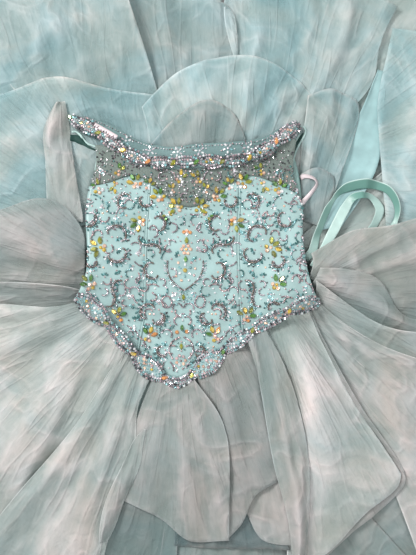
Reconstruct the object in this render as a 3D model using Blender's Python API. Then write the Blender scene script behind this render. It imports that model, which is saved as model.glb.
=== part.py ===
"""Ball gown laid on its back with the skirt spread all round.

Every piece is cut and placed in centimetres from the middle of the waist: across is
to the right, up is towards the neck. Each sheet of cloth is a thin wall that is laid
on whatever lies below it, in the order in which the real layers lie.
"""
import math

import bmesh
import bpy
import numpy as np
from mathutils.bvhtree import BVHTree

CM = 0.01
MM = 0.001

# Place of the waist's middle from the middle of the whole part's box.
WAIST_X = 0.01765
WAIST_Y = 0.19841

SEAM = 0.3 * MM
LAY_GAP = 0.8 * MM
ORGANZA = 1.6 * MM
SATIN = 2.2 * MM
NET = 1.2 * MM
BEADED = 2.6 * MM

CLEARING_STEP = 0.2 * MM
CLEARING_ROUNDS = 40
LOWERING_STEP = 0.2 * MM
EDGE_ANGLE = math.radians(50)
ABOVE_ALL = 1.0
SAMPLES_PER_SIDE = 5

for old in list(bpy.data.objects):
    bpy.data.objects.remove(old, do_unlink=True)

gown = bpy.data.collections.new("ball_gown")
bpy.context.scene.collection.children.link(gown)


# Materials

def cloth_finish(name, colour, roughness, metallic=0.0):
    finish = bpy.data.materials.new(name)
    finish.use_nodes = True
    shader = finish.node_tree.nodes["Principled BSDF"]
    shader.inputs["Base Color"].default_value = (*colour, 1.0)
    shader.inputs["Roughness"].default_value = roughness
    shader.inputs["Metallic"].default_value = metallic
    finish.diffuse_color = (*colour, 1.0)
    return finish


ORGANZA_MINT = cloth_finish("organza_mint", (0.42, 0.60, 0.56), 0.55)
ORGANZA_PALE = cloth_finish("organza_pale", (0.56, 0.66, 0.63), 0.55)
SATIN_MINT = cloth_finish("satin_mint", (0.50, 0.76, 0.74), 0.32)
SATIN_UNDER = cloth_finish("satin_under", (0.52, 0.76, 0.78), 0.28)
NET_NUDE = cloth_finish("net_nude", (0.45, 0.45, 0.42), 0.7)
BEADWORK = cloth_finish("beadwork", (0.46, 0.40, 0.42), 0.2, 0.5)
RIBBON_MINT = cloth_finish("ribbon_mint", (0.52, 0.76, 0.70), 0.3)
RIBBON_PINK = cloth_finish("ribbon_pink", (0.85, 0.68, 0.68), 0.3)


# Curves through a few points, and what a sheet is laid on

def through(points, pieces):
    """Even steps along a smooth curve through the points, as (pieces + 1) rows."""
    knots = np.array(points, dtype=float)
    if len(knots) == 2:
        steps = np.linspace(0.0, 1.0, pieces + 1)[:, None]
        return knots[0] * (1.0 - steps) + knots[1] * steps
    before = 2.0 * knots[0] - knots[1]
    after = 2.0 * knots[-1] - knots[-2]
    padded = np.vstack([before, knots, after])
    fine = []
    for k in range(len(knots) - 1):
        a, b, c, d = padded[k:k + 4]
        for t in np.linspace(0.0, 1.0, 12, endpoint=False):
            bend = (2 * a - 5 * b + 4 * c - d) * t * t + (3 * b - a - 3 * c + d) * t ** 3
            fine.append(0.5 * (2 * b + (c - a) * t + bend))
    fine.append(knots[-1])
    fine = np.array(fine)
    reach = np.concatenate([[0.0], np.cumsum(np.linalg.norm(np.diff(fine, axis=0), axis=1))])
    wanted = np.linspace(0.0, reach[-1], pieces + 1)
    return np.stack([np.interp(wanted, reach, fine[:, k]) for k in range(knots.shape[1])], axis=1)


def read_table(table, place):
    """Value at a place in a table of (place, value) rows."""
    places = [row[0] for row in table]
    values = [row[1] for row in table]
    return np.interp(place, places, values)


class Ground:
    """All that has been laid so far, seen from above."""

    def __init__(self):
        self.points = []
        self.faces = []
        self.tree = None

    def add(self, points, faces):
        first = len(self.points)
        self.points.extend(tuple(p) for p in points)
        self.faces.extend(tuple(first + k for k in face) for face in faces)
        self.tree = BVHTree.FromPolygons(self.points, self.faces)

    def height(self, x, y):
        hit = self.tree.ray_cast((x, y, ABOVE_ALL), (0.0, 0.0, -1.0))[0]
        return hit.z if hit is not None else 0.0


ground = Ground()


def grid_triangles(down, across):
    """Two triangles for each cell of a grid of points, by their places in its flat list."""
    triangles = []
    for i in range(down):
        for j in range(across):
            a = i * (across + 1) + j
            b = a + 1
            c = a + across + 1
            d = c + 1
            triangles.append((a, b, d))
            triangles.append((a, d, c))
    return triangles


def lowest_lay(plan, triangles, gap):
    """Heights at which a sheet over these plan points clears all that lies below it."""
    flat = plan.reshape(-1, 2)
    height = np.array([ground.height(x, y) for x, y in flat]) + gap
    raised = height.copy()
    n = SAMPLES_PER_SIDE
    weights = [(i / n, j / n, (n - i - j) / n) for i in range(n + 1) for j in range(n + 1 - i)]
    for triangle in triangles:
        corners = flat[list(triangle)]
        at_corners = height[list(triangle)]
        for weight in weights:
            share = np.array(weight)
            x, y = share @ corners
            short = ground.height(x, y) + gap - share @ at_corners
            if short > 0.0:
                lift = short * share / (share @ share)
                for k in range(3):
                    place = triangle[k]
                    raised[place] = max(raised[place], height[place] + lift[k])
    return raised.reshape(plan.shape[:2])


def bridge(height, rounds):
    """Cloth spans hollows: each point rises to its neighbours' mean, never below its lay."""
    drape = height.copy()
    for _ in range(rounds):
        padded = np.pad(drape, 1, mode="edge")
        mean = (padded[:-2, 1:-1] + padded[2:, 1:-1] + padded[1:-1, :-2] + padded[1:-1, 2:]) / 4.0
        drape = np.maximum(height, mean)
    return drape


def wall_faces(down, across):
    """Faces of a closed wall: an upper grid, a lower grid after it, and the four edges."""
    count = (down + 1) * (across + 1)
    upper = grid_triangles(down, across)
    lower = [(a + count, c + count, b + count) for a, b, c in upper]
    width = across + 1
    rim = [j for j in range(across)]
    rim += [i * width + across for i in range(down)]
    rim += [down * width + j for j in range(across, 0, -1)]
    rim += [i * width for i in range(down, 0, -1)]
    sides = []
    for k, a in enumerate(rim):
        b = rim[(k + 1) % len(rim)]
        sides.append((a, a + count, b + count))
        sides.append((a, b + count, b))
    return upper + lower + sides


def touching_faces(points, faces, lowered):
    """Faces of a wall that would cut what is laid already, were the wall this much lower."""
    moved = [(x, y, z - lowered) for x, y, z in points]
    return {pair[0] for pair in BVHTree.FromPolygons(moved, faces).overlap(ground.tree)}


def make_wall(name, plan, lower, upper, finish):
    """One closed wall between two grids of heights, clear of all below it, then let down to it."""
    down = plan.shape[0] - 1
    across = plan.shape[1] - 1
    faces = wall_faces(down, across)
    count = (down + 1) * (across + 1)
    top = np.column_stack([plan.reshape(-1, 2), upper.reshape(-1)])
    base = np.column_stack([plan.reshape(-1, 2), lower.reshape(-1)])
    points = np.vstack([top, base])
    for _ in range(CLEARING_ROUNDS):
        touched = touching_faces(points, faces, SEAM)
        if not touched:
            break
        corners = sorted({corner % count for face in touched for corner in faces[face]})
        points[corners, 2] += CLEARING_STEP
        points[[corner + count for corner in corners], 2] += CLEARING_STEP
    drop = 0.0
    spare = float(points[:, 2].min()) - SEAM
    while drop + LOWERING_STEP < spare and not touching_faces(points, faces, drop + LOWERING_STEP + SEAM):
        drop += LOWERING_STEP
    points[:, 2] -= drop
    build_solid(name, points, faces, finish)


def build_solid(name, points, faces, finish):
    mesh = bpy.data.meshes.new(name)
    mesh.from_pydata([tuple(p) for p in points], [], faces)
    shape = bmesh.new()
    shape.from_mesh(mesh)
    bmesh.ops.recalc_face_normals(shape, faces=shape.faces)
    shape.to_mesh(mesh)
    shape.free()
    mesh.shade_smooth()
    mesh.set_sharp_from_angle(angle=EDGE_ANGLE)
    mesh.materials.append(finish)
    piece = bpy.data.objects.new(name, mesh)
    gown.objects.link(piece)
    piece.location = (WAIST_X, WAIST_Y, 0.0)
    ground.add(points, faces)
    return piece


def fold_relief(across, down, folds):
    """Height in millimetres of soft ridges that run from the root (0) to the hem (1).

    Each row of folds: place at the root, place at the hem, width, height at the hem.
    """
    relief = np.zeros_like(across)
    for at_root, at_hem, width, height in folds:
        middle = at_root + (at_hem - at_root) * down
        relief += height * np.exp(-((across - middle) / width) ** 2) * (0.25 + 0.75 * down)
    return relief


def flounce(name, curves, finish=ORGANZA_PALE, pieces=(12, 5), rise=0.0, waves=0, wave=0.0,
            turn=0.0, folds=(), thickness=ORGANZA, root_height=None, smooth=4):
    """A sheet lofted through curves from its gathered root to its hem, then laid down.

    rise is how far the middle puffs up, waves and wave are the number and height of the
    hem's ripples, and turn shifts them along, all in centimetres or whole turns.
    """
    across_count, down_count = pieces
    plan = np.stack([through(curve, across_count) for curve in curves])
    if len(curves) != down_count + 1:
        plan = np.stack([through(plan[:, j], down_count) for j in range(across_count + 1)], axis=1)
    plan = plan * CM
    down, across = np.meshgrid(
        np.linspace(0.0, 1.0, down_count + 1),
        np.linspace(0.0, 1.0, across_count + 1),
        indexing="ij",
    )
    lay = lowest_lay(plan, grid_triangles(down_count, across_count), LAY_GAP)
    if root_height is not None:
        held = root_height * (1.0 - down) ** 2 + lay * (1.0 - (1.0 - down) ** 2)
        lay = np.maximum(lay, held)
    lay = bridge(lay, smooth)
    puff = rise * CM * 4.0 * down * (1.0 - down) * np.sin(math.pi * across) ** 0.5
    ripple = wave * CM * down ** 1.5 * (0.5 + 0.5 * np.sin(2.0 * math.pi * (waves * across + turn)))
    lower = lay + puff + ripple + fold_relief(across, down, folds) * MM
    make_wall(name, plan, lower, lower + thickness, finish)


# Hidden layers: one rounded solid, flat below, stepped at its rim like stacked hems

# Rows: angle in degrees from the gown's left-to-right line, reach of the skirt in cm.
SKIRT_REACH = (
    (0, 93), (20, 93), (40, 87), (58, 76), (72, 66), (83, 57), (95, 64), (112, 72),
    (135, 84), (160, 94), (180, 97), (205, 98), (230, 101), (250, 104), (270, 105),
    (290, 104), (310, 101), (335, 96), (360, 93),
)
# Rows: share of the reach, height in cm.
HEAP_PROFILE = (
    (0.975, 0.0), (0.970, 0.7), (0.945, 0.9), (0.940, 1.6), (0.905, 1.9), (0.900, 2.6),
    (0.80, 3.6), (0.66, 4.8), (0.50, 6.0), (0.34, 6.9), (0.17, 7.4),
)
# Rows: across, up, radius, height, all in cm, of the soft puffs in the hidden layers.
PUFFS = (
    (-29.0, 13.0, 11.0, 3.2),
    (33.0, 10.0, 11.0, 3.0),
    (-20.0, -20.0, 14.0, 1.6),
    (26.0, -20.0, 14.0, 2.0),
    (1.0, -24.0, 11.0, 1.4),
    (6.0, 42.0, 12.0, 1.6),
    (-30.0, 36.0, 14.0, 1.4),
    (-55.0, -30.0, 18.0, 1.6),
    (55.0, -42.0, 18.0, 1.8),
    (60.0, 22.0, 16.0, 1.8),
    (-62.0, 24.0, 16.0, 1.8),
    (6.0, -66.0, 20.0, 1.6),
)
HEAP_SIDES = 60


def reach_at(angle):
    """Reach of the skirt in cm at an angle, smooth all the way round."""
    turned = angle % 360.0
    near = [read_table(SKIRT_REACH, (turned + step) % 360.0) for step in (-6, -3, 0, 3, 6)]
    return sum(near) / len(near)


def heap_point(angle, share, height):
    reach = reach_at(angle) * share
    x = reach * math.cos(math.radians(angle))
    y = reach * math.sin(math.radians(angle))
    if share < 0.9:
        for puff_x, puff_y, radius, puff_height in PUFFS:
            away = ((x - puff_x) ** 2 + (y - puff_y) ** 2) / radius ** 2
            height += puff_height * math.exp(-away)
    return (x * CM, y * CM, height * CM)


def hidden_layers():
    rings = []
    for share, height in HEAP_PROFILE:
        rings.append([heap_point(360.0 * k / HEAP_SIDES, share, height) for k in range(HEAP_SIDES)])
    points = [point for ring in rings for point in ring]
    crown = len(points)
    points.append(heap_point(0.0, 0.0, HEAP_PROFILE[-1][1]))
    foot = len(points)
    points.append((0.0, 0.0, 0.0))
    faces = []
    for k in range(HEAP_SIDES):
        after = (k + 1) % HEAP_SIDES
        for ring in range(len(rings) - 1):
            low = ring * HEAP_SIDES
            high = low + HEAP_SIDES
            faces.append((low + k, low + after, high + after))
            faces.append((low + k, high + after, high + k))
        last = (len(rings) - 1) * HEAP_SIDES
        faces.append((last + k, last + after, crown))
        faces.append((k, foot, after))
    build_solid("skirt_hidden_layers", points, faces, ORGANZA_MINT)


hidden_layers()


# Floor-length gores all round, gathered towards the waist

def arc(start, end, share, swing=0.0, swings=0, pieces=16):
    """Points round the waist at a share of the skirt's reach; swing waves the line in and out."""
    points = []
    for step in range(pieces + 1):
        part = step / pieces
        angle = start + (end - start) * part
        reach = reach_at(angle) * (share + swing * math.sin(2.0 * math.pi * swings * part))
        points.append((reach * math.cos(math.radians(angle)), reach * math.sin(math.radians(angle))))
    return points


# Rows: name, from angle, to angle, hem ripples, ripple height cm, turn.
GORES = (
    ("back_right", 34, 80, 3, 1.6, 0.1),
    ("right", -8, 38, 4, 2.2, 0.4),
    ("front_right", -52, -4, 4, 2.4, 0.2),
    ("front", -98, -48, 4, 2.2, 0.7),
    ("front_left", -146, -94, 4, 2.4, 0.0),
    ("left", -188, -142, 4, 2.2, 0.3),
    ("back_left", -236, -184, 4, 2.0, 0.6),
    ("back", -275, -232, 3, 1.4, 0.2),
)
# Shares of the reach at which a gore's rows of points lie, the last two past the heap's rim.
GORE_ROWS = (0.26, 0.46, 0.66, 0.84, 0.985, 1.035)
HEM_SWING = 0.012

for gore_name, start, end, ripples, ripple_height, shift in GORES:
    flounce(
        "gore_" + gore_name,
        [arc(start, end, share, HEM_SWING * (share > 1.0), ripples) for share in GORE_ROWS],
        finish=ORGANZA_MINT,
        pieces=(16, 5),
        waves=ripples,
        wave=ripple_height,
        turn=shift,
        smooth=0,
    )


# Layers that lie under and beside the bodice, lowest first

flounce(
    "underskirt_satin",
    [[(22, 16), (27, 17)], [(27, 27), (34, 28)], [(30, 38), (35, 38)], [(33, 50), (38, 49)]],
    finish=SATIN_UNDER, pieces=(4, 6), thickness=SATIN,
)
flounce(
    "panel_back_centre",
    [[(-9, 34), (10, 34)], [(-12, 48), (7, 47)], [(-15, 62), (-4, 61), (4, 57)]],
    finish=ORGANZA_MINT, pieces=(10, 5), waves=3, wave=1.0,
    folds=((0.75, 0.82, 0.08, 9.0), (0.95, 0.93, 0.06, 6.0)),
)
flounce(
    "panel_back_left",
    [[(-56, 26), (-30, 36), (-6, 40)], [(-60, 40), (-34, 52), (-9, 50)],
     [(-58, 58), (-36, 68), (-13, 62)]],
    finish=ORGANZA_PALE, pieces=(14, 5), waves=3, wave=1.4, turn=0.2,
)
flounce(
    "panel_back_right",
    [[(8, 34), (18, 33), (27, 36)], [(10, 47), (22, 48), (31.5, 46)],
     [(11, 60), (24, 65), (38, 58)]],
    finish=ORGANZA_MINT, pieces=(12, 5), waves=4, wave=1.2, turn=0.5,
    folds=((0.35, 0.2, 0.08, 8.0), (0.7, 0.75, 0.06, 6.0)),
)
flounce(
    "panel_side_right",
    [[(35, 15), (34, 33), (34, 41), (37, 54)], [(52, 14), (54, 32), (50, 52)],
     [(72, 10), (72, 28), (60, 50)]],
    finish=ORGANZA_MINT, pieces=(12, 5), waves=3, wave=1.6, turn=0.6,
    folds=((0.5, 0.45, 0.08, 7.0),),
)
flounce(
    "panel_side_left",
    [[(-64, 8), (-36, 13), (-17, 18), (-8, 25)], [(-66, 22), (-36, 29), (-20, 32), (-8, 33)],
     [(-62, 36), (-35, 41), (-26, 44.5), (-17, 42.5), (-7, 41)]],
    finish=ORGANZA_PALE, pieces=(14, 5), waves=3, wave=0.8, rise=0.6,
    folds=((0.62, 0.58, 0.06, 9.0), (0.3, 0.35, 0.09, 6.0)),
)
flounce(
    "flounce_neck_outer",
    [[(-8, 22), (6, 19), (21, 20)], [(-8, 33), (6, 36), (23, 33)],
     [(-9.4, 38.7), (-3.4, 44.8), (5, 48), (12, 48), (18.5, 44.5), (22, 41)]],
    pieces=(14, 6), rise=1.4,
    folds=((0.3, 0.32, 0.05, 8.0), (0.62, 0.66, 0.05, 9.0), (0.85, 0.8, 0.05, 6.0)),
)
flounce(
    "flounce_neck_inner",
    [[(-8, 22), (9.5, 22)], [(-8.6, 29), (9.8, 30)],
     [(-8.6, 31), (-3, 36.9), (2.9, 40), (7.6, 37), (9.7, 32)]],
    pieces=(10, 5), rise=0.8, folds=((0.75, 0.8, 0.06, 7.0),),
)
flounce(
    "tongue_right_outer",
    [[(19, 19), (24, 18.5)], [(19.5, 30), (28.4, 30.5)], [(20.5, 37), (30.6, 36.6)],
     [(21, 41), (25.5, 42.4), (30.6, 40)]],
    pieces=(8, 6), rise=1.2, folds=((0.4, 0.5, 0.1, 5.0),),
)
flounce(
    "tongue_right_inner",
    [[(20, 18), (22.5, 17)], [(19.4, 23), (25.4, 22.6)], [(19.6, 26.4), (22.5, 27.7), (25.6, 26.2)]],
    pieces=(6, 4), rise=0.7,
)
flounce(
    "spike_left",
    [[(-26.2, 19), (-19.6, 17.5)], [(-26.5, 29), (-21.5, 28.6)], [(-27.2, 34), (-22.2, 33.6)],
     [(-25.2, 39), (-22.6, 39.6)]],
    pieces=(6, 7), rise=1.4, folds=((0.5, 0.1, 0.16, 10.0),),
)
flounce(
    "puff_left",
    [[(-66, 2), (-45, 4), (-30, 5), (-19.5, 5)], [(-68, 9), (-46, 11), (-31, 13), (-19.2, 10)],
     [(-68, 16), (-48, 18.4), (-34.7, 19.5), (-28, 22.2), (-22, 20), (-19.2, 15)]],
    pieces=(14, 5), rise=2.0, folds=((0.75, 0.8, 0.05, 5.0), (0.5, 0.45, 0.06, 6.0)),
)
flounce(
    "band_left",
    [[(-66, -4), (-35, -2), (-17, 1)], [(-68, 6.6), (-34.7, 6.9), (-24, 6.3), (-19.8, 5.6)]],
    pieces=(12, 3), rise=0.5,
)

# Lacing ribbon of the back: two strands that leave the gown's side, arch over and go under

# Rows: across, up in cm along each strand's middle.
LACING_OUTER = (
    (20.2, 11.0), (21.6, 12.6), (22.6, 16.0), (24.6, 20.6), (27.2, 23.6), (31.4, 24.6),
    (35.0, 23.6), (36.8, 20.6), (36.4, 17.6), (34.6, 14.4),
)
LACING_INNER = (
    (21.6, 9.4), (23.4, 12.4), (25.4, 16.2), (27.4, 20.0), (29.2, 22.3), (32.2, 22.4),
    (33.8, 20.2), (33.0, 17.6), (31.2, 15.0), (29.6, 12.6),
)
RIBBON_WIDTH = 1.5
RIBBON = 1.2 * MM


def ribbon(name, route, width, finish, steps=26, gap=LAY_GAP, thickness=RIBBON):
    """A flat strap laid along its route, one strip wide on each side of its middle."""
    middle = through(route, steps)
    along = np.gradient(middle, axis=0)
    along /= np.linalg.norm(along, axis=1)[:, None]
    side = np.column_stack([-along[:, 1], along[:, 0]]) * width / 2.0
    plan = np.stack([middle - side, middle, middle + side], axis=1) * CM
    lay = lowest_lay(plan, grid_triangles(steps, 2), gap)
    lay = bridge(lay, 2)
    make_wall(name, plan, lay, lay + thickness, finish)


ribbon("lacing_outer", LACING_OUTER, RIBBON_WIDTH, RIBBON_MINT)
ribbon("lacing_inner", LACING_INNER, RIBBON_WIDTH, RIBBON_MINT)

flounce(
    "flounce_right_ruffle",
    [[(20.8, 7.5), (30, 4), (42, -2), (62, -2)], [(21.5, 10.5), (31, 11), (44, 8), (66, 8)],
     [(21.2, 12), (24.7, 14), (29, 16.4), (35, 16.8), (41, 18.6), (56, 22), (68, 19)]],
    pieces=(16, 5), rise=1.0,
    folds=((0.25, 0.3, 0.03, 7.0), (0.34, 0.4, 0.03, 7.0), (0.5, 0.55, 0.05, 6.0)),
)
flounce(
    "puff_right",
    [[(21, 6), (30, -1), (42, -6), (64, -10)], [(22, 8), (32, 3), (42, -2), (66, -5)],
     [(22.6, 9.4), (28, 9.2), (34, 7.2), (36, 2.4), (40, -0.2), (52, 2), (68, 1)]],
    pieces=(14, 4), rise=1.4,
)
flounce(
    "flounce_right_upper",
    [[(21.5, 2.5), (30, -8), (44, -16), (64, -22)], [(22, 5), (33, -5), (44, -10), (66, -15)],
     [(21.8, 7.2), (25, 4.9), (31, 0.6), (36.2, -1.7), (48, -3), (70, -8)]],
    pieces=(14, 4), rise=1.0,
)


# Bodice, laid on the back of the skirt

SWEETHEART = (
    (-18.7, 24.0), (-15, 24.6), (-10.4, 26.2), (-7.0, 24.2), (-3.6, 21.2), (-0.5, 20.0),
    (3.2, 21.6), (6.4, 24.3), (9.9, 26.2), (14.6, 24.6), (19.0, 22.6),
)
WAIST_SEAM = (
    (-20.6, 4.2), (-17.0, 1.1), (-14.4, -1.2), (-11.8, -4.6), (-9.4, -7.0), (-5.8, -10.2),
    (-2.7, -11.4), (-0.2, -9.8), (2.7, -7.6), (6.4, -4.8), (10.4, -1.8), (13.9, 0.3),
    (17.6, 2.2), (20.3, 3.2), (22.2, 3.6),
)
LEFT_SIDE = ((-20.6, 4.2), (-18.9, 8.0), (-18.7, 12.0), (-19.1, 17.0), (-19.2, 20.5), (-18.7, 24.0))
RIGHT_SIDE = ((22.2, 3.6), (20.6, 8.0), (19.8, 13.0), (19.6, 17.0), (19.8, 20.4), (19.0, 22.6))
FRONT_ACROSS = 18
FRONT_DOWN = 9
PRINCESS_LEFT = 5
PRINCESS_RIGHT = 13


def fill_between(bottom, top, left, right, across_count, down_count):
    """Plan points of a panel whose four edges are curves."""
    low = through(bottom, across_count)
    high = through(top, across_count)
    near = through(left, down_count)
    far = through(right, down_count)
    u = np.linspace(0.0, 1.0, across_count + 1)[None, :, None]
    v = np.linspace(0.0, 1.0, down_count + 1)[:, None, None]
    ruled = (1 - v) * low[None] + v * high[None] + (1 - u) * near[:, None] + u * far[:, None]
    corners = (
        (1 - u) * (1 - v) * low[0] + u * (1 - v) * low[-1]
        + (1 - u) * v * high[0] + u * v * high[-1]
    )
    return (ruled - corners) * CM


def panel(name, plan, finish, thickness, gap, smooth, relief=None):
    down = plan.shape[0] - 1
    across = plan.shape[1] - 1
    lay = bridge(lowest_lay(plan, grid_triangles(down, across), gap), smooth)
    upper = lay + thickness
    if relief is not None:
        upper = upper + relief
    make_wall(name, plan, lay, upper, finish)


# The back shows only along its neck edge and at the armholes.
BACK_NECK = (
    (-14.4, 33.2), (-10.2, 31.2), (-3.6, 30.2), (0.6, 31.0), (7, 31.4), (13.1, 32.3), (16.6, 33.4),
)
BACK_LEFT = ((-20.3, 5.0), (-18.6, 9.0), (-18.4, 14.0), (-18.6, 20.0), (-17.8, 27.0), (-14.4, 33.2))
BACK_RIGHT = ((21.8, 4.6), (20.2, 9.0), (19.6, 16.0), (19.6, 22.0), (18.8, 28.0), (16.6, 33.4))
BACK_WAIST = ((-20.3, 5.0), (0.0, 4.0), (21.8, 4.6))

panel("bodice_back", fill_between(BACK_WAIST, BACK_NECK, BACK_LEFT, BACK_RIGHT, 12, 8),
      SATIN_MINT, SATIN, LAY_GAP, 30)

# Neckline band of the back, under the front one, out to the fold of each strap
BAND_BACK = (
    (-20.6, 36.2), (-17.4, 35.0), (-14.0, 33.4), (-11.0, 31.6), (-7.6, 30.4), (-3.6, 29.8), (0.6, 30.3),
    (7.0, 30.6), (12.8, 31.5), (16.0, 33.4), (18.6, 35.6),
)
BAND_FRONT = (
    (-21.4, 36.4), (-18.0, 34.4), (-14.4, 31.8), (-10.8, 29.4), (-6.8, 28.3), (-0.5, 28.4),
    (6.3, 28.4), (10.2, 29.2), (13.2, 30.6), (16.2, 33.0), (19.2, 35.4),
)
BAND_WIDTH_BACK = 2.6
BAND_WIDTH_FRONT = 3.1


def band(name, route, width, steps, gap, across=4, ridge=0.0, cells=0, smooth=3):
    """A beaded band along its route: two raised bead chains, low between them.

    cells is the number of lens-shaped cells along it, where the chains part and meet.
    """
    middle = through(route, steps)
    along = np.gradient(middle, axis=0)
    along /= np.linalg.norm(along, axis=1)[:, None]
    side = np.column_stack([-along[:, 1], along[:, 0]])
    share = np.linspace(0.0, 1.0, steps + 1)
    tip = np.clip(np.minimum(share, 1.0 - share) * steps / 1.5, 0.55, 1.0)
    swell = 1.0 + 0.14 * np.cos(2.0 * math.pi * cells * share) * (cells > 0)
    half = (width / 2.0 * tip * swell)[:, None]
    places = np.linspace(-1.0, 1.0, across + 1)
    plan = np.stack([middle + side * half * place for place in places], axis=1) * CM
    chain = np.where(np.abs(np.abs(places) - 0.6) < 0.3, 1.0, 0.0)
    relief = np.outer(np.ones(steps + 1), chain) * ridge * MM
    panel(name, plan, BEADWORK, BEADED, gap, smooth, relief)


band("neckline_band_back", BAND_BACK, BAND_WIDTH_BACK, 26, SEAM * 2, across=2)

front_plan = fill_between(WAIST_SEAM, SWEETHEART, LEFT_SIDE, RIGHT_SIDE, FRONT_ACROSS, FRONT_DOWN)
front_lay = bridge(
    lowest_lay(front_plan, grid_triangles(FRONT_DOWN, FRONT_ACROSS), LAY_GAP), 12)


def front_piece(name, first, last, open_left, open_right):
    """One cut of the front, drawn in from its neighbours by half a seam gap."""
    plan = front_plan[:, first:last + 1].copy()
    lay = front_lay[:, first:last + 1]
    if open_left:
        plan[:, 0, 0] += SEAM
    if open_right:
        plan[:, -1, 0] -= SEAM
    make_wall(name, plan, lay, lay + SATIN, SATIN_MINT)


front_piece("bodice_front_left", 0, PRINCESS_LEFT, False, True)
front_piece("bodice_front_centre", PRINCESS_LEFT, PRINCESS_RIGHT, True, True)
front_piece("bodice_front_right", PRINCESS_RIGHT, FRONT_ACROSS, True, False)

# Illusion net yoke between the sweetheart edge and the neckline band
YOKE_TOP = (
    (-17.6, 31.2), (-13.5, 29.4), (-9.5, 28.0), (-5.0, 27.2), (-0.5, 27.2), (4.0, 27.4),
    (8.5, 27.8), (12.4, 29.0), (15.7, 30.8), (18.4, 31.6),
)
YOKE_DROP = 0.06


def yoke():
    bottom = through(SWEETHEART, 16) + np.array([0.0, YOKE_DROP])
    top = through(YOKE_TOP, 16)
    middle = (bottom + top) / 2.0
    middle[0] += (0.9, 0.0)
    middle[-1] += (-0.9, 0.0)
    rows = np.stack([bottom, middle, top])
    plan = np.stack([through(rows[:, j], 3) for j in range(17)], axis=1) * CM
    panel("yoke_net", plan, NET_NUDE, NET, LAY_GAP, 6)


yoke()

# The skirt's front panels hang from the waist seam, just outside the satin's edge

WAIST_HEIGHT = float(front_lay[0].mean())

flounce(
    "flounce_right_low",
    [[(20.4, 1.2), (22.6, 2.8)], [(28, -12), (34, -5)], [(38, -35), (50, -25), (54, -10)],
     [(44, -52), (55, -45), (66, -28), (70, -12)]],
    pieces=(12, 6), root_height=WAIST_HEIGHT, rise=0.8, waves=2, wave=1.2,
    folds=((0.9, 0.95, 0.08, 6.0),),
)
flounce(
    "flounce_right_under",
    [[(17.0, 0.6), (20.8, 1.4)], [(20, -14), (29.6, -14.8)], [(18, -38), (28, -32), (35.6, -23)],
     [(20, -48), (27.3, -40), (36.5, -32.2), (38.9, -28)]],
    pieces=(10, 5), root_height=WAIST_HEIGHT,
)
flounce(
    "flounce_right",
    [[(12.6, -2.4), (16.6, -0.4), (20.6, 1.2)], [(17, -15), (28.4, -14.2)],
     [(17, -36), (26, -32), (33.8, -22)],
     [(17, -46), (24.1, -42.3), (31.7, -34.4), (37, -30.3), (37.4, -27.6)]],
    pieces=(12, 7), root_height=WAIST_HEIGHT, rise=1.6,
    folds=((0.35, 0.45, 0.07, 6.0), (0.7, 0.75, 0.09, 5.0)),
)
flounce(
    "flounce_front_under",
    [[(-2, -16), (12, -14)], [(-3, -30), (14, -30)], [(-3.5, -41.2), (8, -41.8), (17.5, -41.6)]],
    finish=ORGANZA_MINT, pieces=(8, 4),
)
flounce(
    "flounce_front_ruffle",
    [[(4, -16), (14, -12)], [(8, -30), (18, -28)],
     [(10, -35.5), (11.4, -38.8), (14, -40.6), (20.2, -40.4)]],
    pieces=(8, 4), rise=0.5,
)
flounce(
    "flounce_front_right",
    [[(1.4, -11.6), (6.2, -7.8), (11.4, -3.4)], [(5, -22), (14.5, -18)],
     [(6.5, -39.6), (9, -36.8), (11.2, -31.7), (16, -28.6)]],
    pieces=(10, 6), root_height=WAIST_HEIGHT, rise=1.2, folds=((0.3, 0.25, 0.07, 6.0),),
)
flounce(
    "pleat_right",
    [[(10.6, -4.2), (13.6, -2.4)], [(12.4, -14), (18, -12)], [(14.4, -26), (20.9, -26)],
     [(17.2, -36), (20.6, -36)], [(18, -47), (21, -47)]],
    pieces=(6, 9), root_height=WAIST_HEIGHT, rise=0.8, folds=((0.5, 0.5, 0.3, 14.0),),
)
flounce(
    "flounce_left",
    [[(-21.6, 2.0), (-17.8, -1.4), (-13.8, -5.0)], [(-42, 3.4), (-34, -14), (-26, -24)],
     [(-70, 4), (-73, -14), (-67, -36), (-50, -60)]],
    pieces=(14, 7), root_height=WAIST_HEIGHT, rise=1.8, waves=3, wave=1.2,
    folds=((0.86, 0.82, 0.05, 10.0), (0.3, 0.35, 0.09, 7.0), (0.55, 0.6, 0.08, 5.0)),
)
flounce(
    "flounce_front_centre",
    [[(-8.2, -11.4), (-2.7, -13.4), (1.2, -12.0)], [(-10, -22), (6.2, -20)],
     [(-12.6, -32.6), (-9.4, -34.2), (-4.3, -37.3), (-0.4, -40.3), (6.5, -40)]],
    pieces=(12, 6), root_height=WAIST_HEIGHT, rise=1.6,
    folds=((0.95, 0.97, 0.05, 9.0), (0.5, 0.55, 0.08, 5.0), (0.25, 0.2, 0.08, 6.0)),
)
flounce(
    "flounce_front_left",
    [[(-13.4, -6.4), (-11.6, -9.0), (-8.6, -11.4)], [(-22, -20.2), (-16, -22), (-11.6, -20)],
     [(-35, -35.2), (-26, -38), (-15.8, -38)], [(-52, -60), (-36, -70), (-18, -68)]],
    pieces=(12, 8), root_height=WAIST_HEIGHT, rise=1.4, waves=2, wave=1.0,
    folds=((0.92, 0.93, 0.06, 10.0), (0.55, 0.5, 0.08, 8.0), (0.15, 0.1, 0.06, 6.0)),
)
flounce(
    "curl_front_left",
    [[(-9, -19), (-7.4, -20)], [(-13.2, -27), (-9.4, -26.5)], [(-16, -33), (-12.4, -32.5)],
     [(-17.4, -40), (-15, -41)]],
    pieces=(4, 7), rise=0.8, folds=((0.5, 0.2, 0.3, 8.0),),
)

# Trims that cover the seams

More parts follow.
